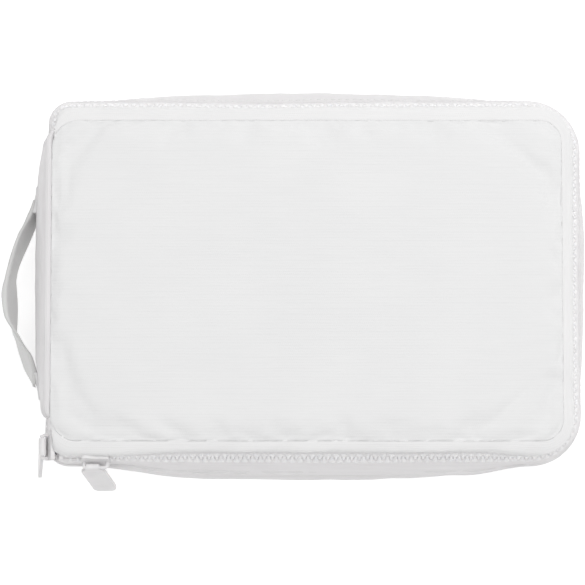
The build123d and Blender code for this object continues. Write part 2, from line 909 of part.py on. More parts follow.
with BuildPart() as book_headband_bottom:
    headband(-1)
book_headband_bottom.part.label = "book_headband_bottom"
export_step(book_headband_bottom.part, "parts/book_headband_bottom.step")

print(f"hinge {hinge_x:.2f} {hinge_z:.2f}, case top {case_top:.2f}")
print(f"handle pivot {pivot_x:.2f} {strap_pivot_z:.2f}")
for place, frame in (("bottom", bottom_frame), ("left", left_frame)):
    bar = frame.origin + frame.z_dir * (slider_depth / 2 + bail_stand)
    print(f"{place} bail bar {bar.X:.3f} {bar.Y:.3f} {bar.Z:.3f}")
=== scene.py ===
"""Looks of the prayer book in its zipped cloth cover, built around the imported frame.

Metres, in the frame's own axes: +Z up, +X from the spine to the fore edge. The cover lies on its
back. Every place comes from the frame's boxes and its hinge, plus the sewing sizes named here.
"""

import json
import math

import bpy
import numpy as np
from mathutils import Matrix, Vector


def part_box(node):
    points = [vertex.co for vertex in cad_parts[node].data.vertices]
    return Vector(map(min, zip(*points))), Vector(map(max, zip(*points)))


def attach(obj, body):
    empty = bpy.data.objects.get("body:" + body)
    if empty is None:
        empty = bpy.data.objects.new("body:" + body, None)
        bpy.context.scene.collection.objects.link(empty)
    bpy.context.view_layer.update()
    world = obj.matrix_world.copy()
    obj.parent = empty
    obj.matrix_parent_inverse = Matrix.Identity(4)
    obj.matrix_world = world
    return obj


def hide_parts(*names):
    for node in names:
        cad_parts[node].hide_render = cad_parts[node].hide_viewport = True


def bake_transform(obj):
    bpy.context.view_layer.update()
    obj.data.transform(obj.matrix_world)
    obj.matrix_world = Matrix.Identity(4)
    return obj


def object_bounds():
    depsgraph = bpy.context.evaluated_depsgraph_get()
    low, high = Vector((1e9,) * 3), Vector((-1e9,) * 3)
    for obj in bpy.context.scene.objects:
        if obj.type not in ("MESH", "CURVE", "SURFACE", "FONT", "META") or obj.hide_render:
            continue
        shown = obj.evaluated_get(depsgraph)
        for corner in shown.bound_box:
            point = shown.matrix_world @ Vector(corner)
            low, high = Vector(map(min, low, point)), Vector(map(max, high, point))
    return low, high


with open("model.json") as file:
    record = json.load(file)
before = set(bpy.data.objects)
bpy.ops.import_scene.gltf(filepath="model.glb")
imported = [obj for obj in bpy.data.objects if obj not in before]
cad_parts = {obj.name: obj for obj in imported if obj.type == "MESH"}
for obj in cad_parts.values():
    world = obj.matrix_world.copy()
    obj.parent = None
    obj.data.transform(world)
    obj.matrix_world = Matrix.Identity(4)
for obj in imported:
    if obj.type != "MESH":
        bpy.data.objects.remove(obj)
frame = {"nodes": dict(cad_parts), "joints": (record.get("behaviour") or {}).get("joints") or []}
cad_low, cad_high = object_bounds()

MM = 0.001

# Cloth and sewing
CLOTH = 0.8 * MM
TAPE = 0.5 * MM
HEM_ROLL = 0.5 * MM
HEM_HEIGHT = 2.2 * MM
STITCH_PITCH = 3.2 * MM
STITCH_LENGTH = 2.3 * MM
STITCH_RADIUS = 0.22 * MM

# Plan of the cover
SPINE_CORNER = 17.0 * MM
FORE_CORNER = 10.0 * MM
FRONT_SPINE_CORNER = 12.0 * MM
CHAIN_SPINE_CORNER = 6.0 * MM
CHAIN_FORE_CORNER = 19.0 * MM
CHAIN_OUT_LONG = 6.5 * MM
CHAIN_OUT_FORE = 5.25 * MM
CHAIN_IN_SPINE = 1.25 * MM
CHAIN_LEAN = math.radians(22)
NEAR_SIDE_LEAN = math.radians(40)

# Side walls
LONG_BELLY = 2.0 * MM
LONG_BOW = 7.0 * MM
BOW_FULLNESS = 2.6
FORE_BELLY = 2.0 * MM
FORE_BOW = 4.0 * MM
CORNER_BELLY = 1.0 * MM
FORE_CORNER_SOFT = 4.0 * MM
UPPER_CURVE = 0.35
UPPER_LIFT = 0.45 * MM
LEFT_SLIDER_ROOM = 1.0 * MM

# Zipper
TOOTH_PITCH = 3.5 * MM
TOOTH_LENGTH = 4.2 * MM
TOOTH_REACH = 1.1 * MM
TAPE_GAP = 0.3 * MM
TAPE_FORWARD = 0.45 * MM
CORD_RISE = 0.5 * MM
CORD_PLACE = 2.2 * MM
CORD_SPREAD = 1.1 * MM

# Front panel
PANEL_ROLL = 5.5 * MM
PANEL_RISE = 1.3 * MM
PANEL_CROWN = 0.5 * MM
SEAM_TUCK = 0.5 * MM
FRONT_INSET = 1.6 * MM
BACK_INSET = 1.7 * MM
BACK_ROLL = 3.5 * MM
BACK_EDGE_RISE = 0.75 * MM
PUCKER_REACH = 5 * MM

# Folds in the cloth: their height, spacing and seed. A height without MM is a share of what it changes
CHAIN_WAVER = (0.45 * MM, 48 * MM, 11)
WALL_TOP_GATHERS = (0.55 * MM, 6.5 * MM, 3)
WALL_FOOT_GATHERS = (0.5 * MM, 8 * MM, 4)
WALL_SWELLS = (0.7 * MM, 34 * MM, 5)
WALL_RIPPLES = (0.25 * MM, 9 * MM, 6)
WALL_SAG = (0.35 * MM, 22 * MM, 7)
UPPER_GATHERS = (0.4 * MM, 5 * MM, 21)
UPPER_SWELLS = (0.35 * MM, 14 * MM, 22)
UPPER_LIFT_CHANGES = (0.6, 9 * MM, 23)
FRONT_SLACK = (0.22 * MM, 42 * MM, 31)
FRONT_WRINKLES = (0.10 * MM, 15 * MM, 32)
FRONT_PUCKERS = (0.26 * MM, 6.5 * MM, 33)
BACK_PUCKERS = (0.25 * MM, 7 * MM, 41)
SPINE_PUFF = (0.5 * MM, 26 * MM, 51)
SPINE_END_CREASES = (0.45 * MM, 5 * MM, 52)
SPINE_RIPPLES = (0.16 * MM, 7 * MM, 53)
STRAP_CRUMPLE = (0.28 * MM, 9 * MM, 61)
PATCH_LUMPS = (0.05, 4 * MM, 71)


def joint_place(name):
    """Where a joint sits."""
    return Vector(next(joint for joint in frame["joints"] if joint["name"] == name)["pos_m"])


# Places read from the frame
seam_low, seam_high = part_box("front_panel_cover")
SEAM_X, SEAM_Y, SEAM_Z = seam_high.x, seam_high.y, seam_low.z
PAD_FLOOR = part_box("front_panel_lining")[1].z
foot_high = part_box("back_panel_cover")[1]
FOOT_OUT = foot_high.x - SEAM_X
BACK_PAD_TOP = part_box("back_panel_foam")[1].z
wall_low, wall_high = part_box("lower_gusset")
WALL_FOOT, WALL_TOP = wall_low.z, wall_high.z
upper_low, upper_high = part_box("upper_gusset")
UPPER_EDGE, UPPER_SEAM = upper_low.z, upper_high.z
SPINE_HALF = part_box("spine_panel")[1].y
SPINE_HIGH_END = SPINE_HALF + 6.0 * MM
HINGE = joint_place("cover_hinge")
CHAIN_Y = SEAM_Y + CHAIN_OUT_LONG
CHAIN_LEFT = -(SEAM_X - CHAIN_IN_SPINE)
CHAIN_RIGHT = SEAM_X + CHAIN_OUT_FORE


# ---- Node helpers


def give(socket, value):
    """Links another socket to an input, or sets a plain value on it."""
    if isinstance(value, bpy.types.NodeSocket):
        socket.id_data.links.new(value, socket)
    else:
        socket.default_value = value


def set_inputs(node, **values):
    """Links or sets a node's inputs by label; an underscore stands for a space."""
    for label, value in values.items():
        give(node.inputs[label.replace("_", " ")], value)


def math_node(tree, operation, first, second=None, third=None):
    """A math node on sockets or numbers; gives its output socket."""
    node = tree.nodes.new("ShaderNodeMath")
    node.operation = operation
    for socket, value in zip(node.inputs, (first, second, third)):
        if value is not None:
            give(socket, value)
    return node.outputs[0]


def map_range(tree, value, low, high, to_low, to_high):
    """A map range node from low..high to to_low..to_high."""
    node = tree.nodes.new("ShaderNodeMapRange")
    set_inputs(node, Value=value, From_Min=low, From_Max=high, To_Min=to_low, To_Max=to_high)
    return node.outputs["Result"]


def stretched(tree, place, scale):
    """The place vector scaled by a different number along each axis."""
    node = tree.nodes.new("ShaderNodeMapping")
    set_inputs(node, Vector=place, Scale=scale)
    return node.outputs["Vector"]


def noise(tree, place, scale, detail=2.0, rough=0.5):
    """A noise texture's value on a place vector."""
    node = tree.nodes.new("ShaderNodeTexNoise")
    set_inputs(node, Vector=place, Scale=scale, Detail=detail, Roughness=rough)
    return node.outputs["Fac"]


def new_group(name, inputs, outputs):
    """An empty node group with its inputs (name, type, default) and outputs (name, type)."""
    group = bpy.data.node_groups.new(name, "ShaderNodeTree")
    for label, kind, default in inputs:
        socket = group.interface.new_socket(name=label, in_out="INPUT", socket_type=kind)
        if default is not None:
            socket.default_value = default
    for label, kind in outputs:
        group.interface.new_socket(name=label, in_out="OUTPUT", socket_type=kind)
    entry = group.nodes.new("NodeGroupInput")
    leave = group.nodes.new("NodeGroupOutput")
    return group, entry, leave


def make_weave_group():
    """Threads over and under, thick and thin: a gap mask for the painted shade between threads and a
    height for the bump.
    """
    group, entry, leave = new_group(
        "woven_threads",
        [
            ("Place", "NodeSocketVector", None),
            ("Rib Pitch", "NodeSocketFloat", 1.2 * MM),
            ("Cross Pitch", "NodeSocketFloat", 0.9 * MM),
            ("Slub", "NodeSocketFloat", 0.5),
        ],
        [("Height", "NodeSocketFloat"), ("Gap", "NodeSocketFloat"), ("Slubs", "NodeSocketFloat")],
    )
    place = entry.outputs["Place"]
    split = group.nodes.new("ShaderNodeSeparateXYZ")
    give(split.inputs[0], place)
    along, across = split.outputs[0], split.outputs[1]
    slubs = noise(group, stretched(group, place, (45, 800, 45)), 1.0, detail=3.0, rough=0.6)
    drift = noise(group, place, 60.0)
    shift = math_node(group, "MULTIPLY", drift, 3.0)
    rib_turn = math_node(group, "DIVIDE", across, entry.outputs["Rib Pitch"])
    rib_turn = math_node(group, "MULTIPLY_ADD", rib_turn, 2 * math.pi, shift)
    rib = math_node(group, "MULTIPLY_ADD", math_node(group, "SINE", rib_turn), 0.5, 0.5)
    row = math_node(group, "FLOOR", math_node(group, "DIVIDE", rib_turn, 2 * math.pi))
    cross_turn = math_node(group, "DIVIDE", along, entry.outputs["Cross Pitch"])
    cross_turn = math_node(group, "ADD", cross_turn, math_node(group, "MULTIPLY", row, 0.5))
    cross_turn = math_node(group, "MULTIPLY", cross_turn, 2 * math.pi)
    cross = math_node(group, "MULTIPLY_ADD", math_node(group, "SINE", cross_turn), 0.5, 0.5)
    weave = math_node(group, "MULTIPLY_ADD", cross, 0.35, math_node(group, "MULTIPLY", rib, 0.65))
    thick = map_range(group, slubs, 0.3, 0.75, -1.0, 1.0)
    thick = math_node(group, "MULTIPLY", thick, entry.outputs["Slub"])
    gap_shade = map_range(group, weave, 0.0, 0.5, 1.0, 0.0)
    set_inputs(leave, Height=math_node(group, "ADD", weave, thick), Gap=gap_shade, Slubs=slubs)
    return group


def make_wear_group():
    """Slow changes of shade over a piece, with finer flecks."""
    group, entry, leave = new_group(
        "slow_shade",
        [
            ("Place", "NodeSocketVector", None),
            ("Patch Size", "NodeSocketFloat", 30 * MM),
            ("Fleck Size", "NodeSocketFloat", 1.5 * MM),
        ],
        [("Patches", "NodeSocketFloat"), ("Flecks", "NodeSocketFloat")],
    )
    for size, output, detail in (("Patch Size", "Patches", 2.0), ("Fleck Size", "Flecks", 1.0)):
        scale = math_node(group, "DIVIDE", 1.0, entry.outputs[size])
        give(leave.inputs[output], noise(group, entry.outputs["Place"], scale, detail))
    return group


def make_fuzz_group():
    """Fine loose fibres, as a height for the bump."""
    group, entry, leave = new_group(
        "cloth_fuzz",
        [("Place", "NodeSocketVector", None), ("Fibre Size", "NodeSocketFloat", 0.5 * MM)],
        [("Height", "NodeSocketFloat")],
    )
    scale = math_node(group, "DIVIDE", 1.0, entry.outputs["Fibre Size"])
    give(leave.inputs["Height"], noise(group, entry.outputs["Place"], scale, 4.0, 0.7))
    return group


WEAVE = make_weave_group()
SHADE = make_wear_group()
FUZZ = make_fuzz_group()


def placed(tree, group, place, **values):
    """A group node on a place vector, with its own values."""
    node = tree.nodes.new("ShaderNodeGroup")
    node.node_tree = group
    set_inputs(node, Place=place, **values)
    return node


def new_material(name):
    """A material with its Principled shader, its tree and the object's own coordinates."""
    material = bpy.data.materials.new(name)
    material.use_nodes = True
    tree = material.node_tree
    shader = tree.nodes["Principled BSDF"]
    coordinate = tree.nodes.new("ShaderNodeTexCoord")
    return material, tree, shader, coordinate


def blend_colour(tree, factor, first, second):
    """A mix of two colours by a factor."""
    node = tree.nodes.new("ShaderNodeMix")
    node.data_type = "RGBA"
    give(node.inputs["Factor"], factor)
    for number, value in ((6, first), (7, second)):
        give(node.inputs[number], (*value, 1) if isinstance(value, tuple) else value)
    return node.outputs[2]


def bump(tree, height, distance):
    """A bump node on a height."""
    node = tree.nodes.new("ShaderNodeBump")
    set_inputs(node, Strength=1.0, Distance=distance, Height=height)
    return node.outputs["Normal"]


def woven(name, colour, gap_shade_and_tone, rib, cross, slub, depth, coordinates="Object", sheen=0.25, rough=0.85):
    """Woven cloth: thread colour, the darker colour painted between threads as shade (slubs and patches
    also blend towards it), pitches, slub and bump depth.
    """
    material, tree, shader, coordinate = new_material(name)
    place = coordinate.outputs[coordinates]
    threads = placed(tree, WEAVE, place, Rib_Pitch=rib, Cross_Pitch=cross, Slub=slub)
    shade = placed(tree, SHADE, place, Patch_Size=35 * MM, Fleck_Size=1.6 * MM)
    fuzz = placed(tree, FUZZ, place, Fibre_Size=0.45 * MM)
    # Painted shade: the gaps between threads are darkened towards the darker colour
    gap_shade = math_node(tree, "MULTIPLY", threads.outputs["Gap"], 0.2)
    slub_light = map_range(tree, threads.outputs["Slubs"], 0.35, 0.7, 0.22, 0.0)
    patch = map_range(tree, shade.outputs["Patches"], 0.35, 0.65, 0.2, 0.0)
    factor = math_node(tree, "ADD", gap_shade, math_node(tree, "ADD", slub_light, patch))
    height = math_node(tree, "MULTIPLY_ADD", fuzz.outputs["Height"], 0.3, threads.outputs["Height"])
    set_inputs(
        shader,
        Base_Color=blend_colour(tree, factor, colour, gap_shade_and_tone),
        Roughness=map_range(tree, shade.outputs["Flecks"], 0.3, 0.7, rough - 0.08, rough + 0.06),
        Normal=bump(tree, height, depth),
        Sheen_Weight=sheen,
        Sheen_Roughness=0.5,
        Specular_IOR_Level=0.25,
    )
    return material


def moulded(name, colour, shadow, grain, depth, rough):
    """Moulded plastic: a faint flow of shade and a fine spark-eroded skin."""
    material, tree, shader, coordinate = new_material(name)
    place = coordinate.outputs["Object"]
    shade = placed(tree, SHADE, place, Patch_Size=6 * MM, Fleck_Size=grain)
    factor = map_range(tree, shade.outputs["Patches"], 0.3, 0.7, 0.0, 1.0)
    set_inputs(
        shader,
        Base_Color=blend_colour(tree, factor, colour, shadow),
        Roughness=map_range(tree, shade.outputs["Flecks"], 0.3, 0.7, rough - 0.06, rough + 0.08),
        Normal=bump(tree, shade.outputs["Flecks"], depth),
        Subsurface_Weight=0.15,
        Subsurface_Radius=(1.2 * MM, 1.1 * MM, 1.0 * MM),
        Subsurface_Scale=1.0,
    )
    return material


def paper(name, colour, line, pages):
    """Cream paper; with pages, its edges show the stack of leaves as fine level lines."""
    material, tree, shader, coordinate = new_material(name)
    place = coordinate.outputs["Object"]
    shade = placed(tree, SHADE, place, Patch_Size=25 * MM, Fleck_Size=0.8 * MM)
    patch = map_range(tree, shade.outputs["Patches"], 0.35, 0.65, 0.0, 0.5)
    colour_out = blend_colour(tree, patch, colour, line)
    height = shade.outputs["Flecks"]
    if pages:
        leaves = noise(tree, stretched(tree, place, (25, 25, 4200)), 1.0, detail=3.0, rough=0.7)
        edge = map_range(tree, leaves, 0.35, 0.7, 0.0, 0.8)
        colour_out = blend_colour(tree, edge, colour_out, line)
        height = leaves
    roughness = map_range(tree, shade.outputs["Flecks"], 0.3, 0.7, 0.8, 0.92)
    normal = bump(tree, height, 0.06 * MM)
    set_inputs(shader, Base_Color=colour_out, Roughness=roughness, Normal=normal)
    set_inputs(shader, Specular_IOR_Level=0.2)
    return material


WHITE = (0.815, 0.815, 0.815)
# Darker colours painted between threads as shade; random slub and patch tone also blends towards them
GAP_SHADE_AND_TONE = (0.755, 0.755, 0.76)
# Darker still: painted shade for the gaps, and for the shaded gusset and spine walls; also random tone
DARK_GAP_SHADE_AND_TONE = (0.70, 0.68, 0.69)

canvas = woven("ribbed_canvas", WHITE, GAP_SHADE_AND_TONE, 1.25 * MM, 0.85 * MM, 0.5, 0.045 * MM)
# Painted shade: a darker copy of the front canvas, with darker gaps, for the shaded lower gusset wall
painted_shade_wall_finish = woven(
    "gathered_canvas_painted_shade", (0.77, 0.76, 0.765), DARK_GAP_SHADE_AND_TONE, 0.95 * MM, 0.85 * MM, 0.35, 0.07 * MM,
    coordinates="UV",
)
# Painted light: a brighter copy of the front canvas for the lit upper gusset band
painted_light_band_finish = woven(
    "band_canvas_painted_light", (0.845, 0.84, 0.84), GAP_SHADE_AND_TONE, 0.95 * MM, 0.85 * MM, 0.3, 0.06 * MM, coordinates="UV"
)
# Painted shade: a darker copy of the front canvas, with the darker gaps, for the shaded spine side
painted_shade_spine_finish = woven(
    "spine_canvas_painted_shade", (0.785, 0.775, 0.78), DARK_GAP_SHADE_AND_TONE, 0.95 * MM, 0.85 * MM, 0.45, 0.10 * MM,
    coordinates="UV",
)
canvas_strap = woven(
    "strap_canvas", (0.74, 0.74, 0.73), (0.60, 0.60, 0.60), 1.0 * MM, 0.8 * MM, 0.4, 0.12 * MM,
    coordinates="UV",
)
tape_cloth = woven(
    "zipper_tape_weave", (0.84, 0.83, 0.835), DARK_GAP_SHADE_AND_TONE, 0.7 * MM, 0.6 * MM, 0.1, 0.07 * MM,
    coordinates="UV", sheen=0.15, rough=0.75,
)
lining_cloth = woven(
    "smooth_lining", (0.78, 0.77, 0.75), (0.68, 0.67, 0.65), 0.5 * MM, 0.5 * MM, 0.1, 0.04 * MM,
    sheen=0.35, rough=0.6,
)
book_cloth = woven(
    "book_cloth", (0.72, 0.70, 0.66), (0.58, 0.56, 0.52), 0.6 * MM, 0.6 * MM, 0.3, 0.07 * MM, sheen=0.1,
)
thread = woven(
    "sewing_thread", (0.82, 0.82, 0.82), (0.7, 0.7, 0.7), 0.5 * MM, 0.3 * MM, 0.1, 0.05 * MM, rough=0.7
)
wadding = woven("wadding", (0.82, 0.82, 0.81), (0.7, 0.7, 0.69), 2.0 * MM, 1.6 * MM, 0.9, 0.2 * MM)
plastic = moulded("moulded_white", (0.88, 0.875, 0.88), (0.83, 0.82, 0.83), 0.35 * MM, 0.02 * MM, 0.38)
slider_plastic = moulded(
    "slider_white", (0.79, 0.78, 0.785), (0.74, 0.73, 0.735), 0.35 * MM, 0.02 * MM, 0.42
)
page_edges = paper("page_edges", (0.80, 0.76, 0.66), (0.62, 0.56, 0.45), True)
leaf_paper = paper("leaf_paper", (0.82, 0.79, 0.70), (0.76, 0.72, 0.62), False)


# ---- Mesh helpers


def make_object(name, points, faces, finish, uvs=None):
    """A smooth mesh object from points and faces, with one UV pair per point."""
    mesh = bpy.data.meshes.new(name)
    mesh.from_pydata([tuple(p) for p in points], [], faces)
    mesh.polygons.foreach_set("use_smooth", [True] * len(mesh.polygons))
    if uvs is not None:
        layer = mesh.uv_layers.new(name="cut_cloth")
        loop_points = np.zeros(len(mesh.loops), dtype=np.int32)
        mesh.loops.foreach_get("vertex_index", loop_points)
        layer.data.foreach_set("uv", np.asarray(uvs, dtype=np.float32)[loop_points].ravel())
    mesh.materials.append(finish)
    mesh.update()
    piece = bpy.data.objects.new(name, mesh)
    bpy.context.scene.collection.objects.link(piece)
    return piece


def grid_faces(rows, columns, first=0, around=False):
    """Quads of a grid of points stored row by row."""
    last = columns if around else columns - 1
    return [
        (
            first + r * columns + c,
            first + r * columns + (c + 1) % columns,
            first + (r + 1) * columns + (c + 1) % columns,
            first + (r + 1) * columns + c,
        )
        for r in range(rows - 1)
        for c in range(last)
    ]


def closed_tube(rings, sides, first=0):
    """Faces of a tube of rings of points, closed at both ends."""
    faces = grid_faces(rings, sides, first, around=True)
    last = first + (rings - 1) * sides
    faces.append(tuple(range(first + sides - 1, first - 1, -1)))
    faces.append(tuple(range(last, last + sides)))
    return faces


def cloth_strip(name, rows, finish, thickness=CLOTH):
    """A sheet through rows of points that run along the cloth; its UVs are metres on the cut cloth."""
    rows = np.asarray(rows)
    middle = rows[len(rows) // 2]
    along = lengths_along(middle)
    rises = np.linalg.norm(np.diff(rows, axis=0), axis=2).mean(axis=1)
    across = np.concatenate([[0], np.cumsum(rises)])
    uvs = np.stack(np.meshgrid(along, across), axis=-1).reshape(-1, 2)
    piece = make_object(
        name, rows.reshape(-1, 3), grid_faces(len(rows), rows.shape[1]), finish, uvs
    )
    shell = piece.modifiers.new("cloth_thickness", "SOLIDIFY")
    shell.thickness = thickness
    shell.offset = -1
    return piece, along[-1], across[-1]


def eased(value):
    """0 to 1, smoothly."""
    value = np.clip(value, 0, 1)
    return value * value * (3 - 2 * value)


def waves(distance, fold):
    """Smooth seeded waves along a length; fold is their height, spacing and seed."""
    height, spacing, seed = fold
    turn = np.asarray(distance) / spacing
    knots = np.random.RandomState(seed).uniform(-1, 1, int(np.max(turn)) + 4)
    low = np.floor(turn).astype(int)
    part = eased(turn - low)
    return height * (knots[low] * (1 - part) + knots[low + 1] * part)


def gathers(distance, fold, middle=0.6):
    """Rounded folds between narrow creases, measured from a share of their height."""
    height, spacing, seed = fold
    return height * (np.sqrt(np.abs(waves(distance, (1, spacing, seed)))) - middle)


def between(first, last, share):
    """The value a share of the way from first to last."""
    return first + (last - first) * share


def unit(vectors):
    """Vectors brought to length one."""
    return vectors / np.linalg.norm(vectors, axis=-1, keepdims=True)


def read_at(distance, places, columns):
    """Each column of a table along a line, read at a distance."""
    return np.array([np.interp(distance, places, column) for column in columns.T])


# Points on each run of a plan outline: sides and corners, from the spine end round to the spine end
SHORT_STEPS = 14
CORNER_STEPS = 22
LONG_STEPS = 210
FORE_STEPS = 130


def bowed(start, end, outward, bow, steps):
    """Points of a side from start towards end, bowed outward at its middle."""
    part = np.arange(steps)[:, None] / steps
    line = np.asarray(start) * (1 - part) + np.asarray(end) * part
    return line + np.asarray(outward) * bow * (1 - np.abs(2 * part - 1) ** BOW_FULLNESS)


def turn(center, radius, start_angle, steps):
    """Points of a quarter turn, counterclockwise."""
    angle = math.radians(start_angle) + np.arange(steps) / steps * math.pi / 2
    return np.stack([center[0] + radius * np.cos(angle), center[1] + radius * np.sin(angle)], axis=1)


def outline(left, right, half, spine_radius, fore_radius, bows=(0, 0)):
    """An open plan outline: down the spine side, round the fore edge and back, in fixed steps."""
    end = min(SPINE_HALF, half - spine_radius - 1 * MM)
    high_end = min(SPINE_HIGH_END, half - spine_radius - 1 * MM)
    low_left = (left + spine_radius, -half + spine_radius)
    low_right = (right - fore_radius, -half + fore_radius)
    high_right = (right - fore_radius, half - fore_radius)
    high_left = (left + spine_radius, half - spine_radius)
    runs = [
        bowed((left, -end), (left, low_left[1]), (-1, 0), 0, SHORT_STEPS),
        turn(low_left, spine_radius, 180, CORNER_STEPS),
        bowed((low_left[0], -half), (low_right[0], -half), (0, -1), bows[0], LONG_STEPS),
        turn(low_right, fore_radius, 270, CORNER_STEPS),
        bowed((right, low_right[1]), (right, high_right[1]), (1, 0), bows[1], FORE_STEPS),
        turn(high_right, fore_radius, 0, CORNER_STEPS),
        bowed((high_right[0], half), (high_left[0], half), (0, 1), bows[0], LONG_STEPS),
        turn(high_left, spine_radius, 90, CORNER_STEPS),
        bowed((left, high_left[1]), (left, high_end), (-1, 0), 0, SHORT_STEPS),
        np.array([(left, high_end)]),
    ]
    return np.concatenate(runs)


def outward_of(points):
    """Unit normals of an open plan outline, away from the cover."""
    run = unit(np.gradient(points, axis=0))
    return np.stack([run[:, 1], -run[:, 0]], axis=1)


def lengths_along(points):
    """Distance of each point along its line."""
    steps = np.linalg.norm(np.diff(points, axis=0), axis=1)
    return np.concatenate([[0], np.cumsum(steps)])


def level(points, z):
    """Plan points lifted to a height, or to a height for each."""
    return np.column_stack([points, np.broadcast_to(z, len(points))])


def lean_out(z):
    """How far the leaning tape stands outside the chain at height z."""
    return (HINGE.z - z) * math.tan(CHAIN_LEAN)


def wander(distance):
    """The chain's slight waver, still near the sliders and at the spine."""
    left = distance[-1] - distance
    ease = np.clip((distance - 70 * MM) / (60 * MM), 0, 1) * np.clip(left / (40 * MM), 0, 1)
    return waves(distance, CHAIN_WAVER) * ease


def near_side():
    """How far each outline point has turned from the usual lean to the near long side's lean."""
    turned = np.zeros(len(chain_line))
    start = SHORT_STEPS + CORNER_STEPS
    part = np.arange(LONG_STEPS) / LONG_STEPS
    turned[start : start + LONG_STEPS] = eased((part - 0.1) / 0.16) * eased((1 - part) / 0.14)
    return turned


chain_line = outline(CHAIN_LEFT, CHAIN_RIGHT, CHAIN_Y, CHAIN_SPINE_CORNER, CHAIN_FORE_CORNER)
MORE_LEAN = near_side() * (math.tan(NEAR_SIDE_LEAN) - math.tan(CHAIN_LEAN))
AT_LEFT_SLIDER = np.exp(-(((np.arange(len(chain_line)) - SHORT_STEPS - 8) / 7) ** 2))
chain_distance = lengths_along(chain_line)
chain_outward = outward_of(chain_line)
chain_wander = wander(chain_distance)
chain_table = np.column_stack([chain_line, chain_outward, chain_wander, MORE_LEAN])


# ---- Lower gusset


def wall_outline(share):
    """The lower gusset's outline at a share of its height."""
    swell = math.sin(math.pi * share)
    top_out = lean_out(WALL_TOP) + TAPE / 2 + CLOTH / 2
    fore_corner = between(FORE_CORNER + FOOT_OUT, CHAIN_FORE_CORNER + top_out, share)
    return outline(
        -(SEAM_X + between(FOOT_OUT, top_out - CHAIN_IN_SPINE, share) + CORNER_BELLY * swell),
        SEAM_X + between(FOOT_OUT, CHAIN_OUT_FORE + top_out, share) + FORE_BELLY * swell,
        SEAM_Y + between(FOOT_OUT, CHAIN_OUT_LONG + top_out, share) + LONG_BELLY * swell,
        between(SPINE_CORNER + FOOT_OUT, CHAIN_SPINE_CORNER + top_out, share),
        fore_corner + FORE_CORNER_SOFT * swell,
        (LONG_BOW * swell, FORE_BOW * swell),
    )


def lower_gusset():
    """The deep side wall: gathered into the foot seam and under the zipper, hemmed at its top."""
    depth = WALL_TOP - WALL_FOOT
    rows = []
    for step in np.linspace(0, 1, 34):
        share = 1 - (1 - step) ** 1.25
        points = wall_outline(share)
        distance = lengths_along(points)
        swell = math.sin(math.pi * share)
        down = (1 - share) * depth
        near_top = math.exp(-((down / (9 * MM)) ** 2))
        near_foot = math.exp(-((share * depth / (7 * MM)) ** 2))
        out = near_top * gathers(distance, WALL_TOP_GATHERS)
        out += near_foot * gathers(distance, WALL_FOOT_GATHERS)
        out += swell * waves(distance + 40 * MM * share, WALL_SWELLS)
        out += swell * waves(distance + 15 * MM * share, WALL_RIPPLES)
        if down < HEM_HEIGHT:
            out += HEM_ROLL * math.sin(math.pi * min(1, down / HEM_HEIGHT)) ** 0.7
        out += chain_wander * share**3 + MORE_LEAN * (HINGE.z - WALL_TOP) * share**4
        z = between(WALL_FOOT, WALL_TOP, share) + near_top * waves(distance, WALL_SAG)
        rows.append(level(points + outward_of(points) * out[:, None], z))
    piece, length, height = cloth_strip("gusset_lower_cloth", rows, painted_shade_wall_finish)
    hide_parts("lower_gusset")
    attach(piece, "case_back")
    hem_stitches("gusset_lower_stitches", "case_back", rows, WALL_TOP - 1.3 * MM)


# ---- Zipper


def tape_strip(name, node, body, low, high):
    """A zipper tape between two heights, leaning with the chain."""
    rows = []
    for z in np.linspace(low, high, 13):
        from_cord = (abs(z - HINGE.z) - CORD_PLACE) / CORD_SPREAD
        cord = CORD_RISE * math.exp(-(from_cord**2))
        lean = lean_out(z) + MORE_LEAN * (HINGE.z - z)
        out = lean + TAPE / 2 + TAPE_FORWARD + cord + chain_wander
        rows.append(level(chain_line + chain_outward * out[:, None], z))
    piece, length, height = cloth_strip(name, rows, tape_cloth, TAPE)
    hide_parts(node)
    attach(piece, body)


# One tooth from its tail on the tape to its head: share of the length, half width, half thickness
TOOTH_STATIONS = [
    (0.00, 1.10, 0.70), (0.06, 1.50, 1.05), (0.20, 1.60, 1.25),
    (0.36, 1.42, 1.20), (0.54, 0.98, 1.05), (0.68, 0.72, 1.00),
    (0.82, 0.84, 1.05), (0.94, 0.78, 0.95), (1.00, 0.45, 0.65),
]
TOOTH_SECTION = [
    (1, 0.45), (0.6, 1), (-0.6, 1), (-1, 0.45), (-1, -0.45), (-0.6, -1), (0.6, -1), (1, -0.45),
]


def tooth_points():
    """Points of one tooth: x along the chain, y from the tail to the head, z out of the tape."""
    return np.array(
        [
            (half_width * MM * x, share * TOOTH_LENGTH, half_thick * MM * z)
            for share, half_width, half_thick in TOOTH_STATIONS
            for x, z in TOOTH_SECTION
        ]
    )


BOTTOM_SLIDER_X = sum(corner.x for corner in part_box("slider_bottom_body")) / 2
LEFT_SLIDER_Y = sum(corner.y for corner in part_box("slider_left_body")) / 2
FIRST_POINTS = SHORT_STEPS + 4
OPEN_START = float(
    np.interp(-LEFT_SLIDER_Y, -chain_line[:FIRST_POINTS, 1], chain_distance[:FIRST_POINTS])
)
near_points = chain_line[:LONG_STEPS]
from_slider = np.abs(near_points[:, 0] - BOTTOM_SLIDER_X) + (near_points[:, 1] > -70 * MM)
OPEN_END = float(chain_distance[np.argmin(from_slider)])
UNDER_LEFT_SLIDER = 2 * MM
UNDER_BOTTOM_SLIDER = 3 * MM
CHAIN_END_ROOM = 2 * MM
OPEN_GAP = 1.5 * MM


def parting(distance):
    """How far each row stands back in the opened corner between the sliders."""
    share = (distance - OPEN_START) / (OPEN_END - OPEN_START)
    if not 0 < share < 1:
        return 0.0
    return OPEN_GAP * math.sin(math.pi * share) ** 0.8


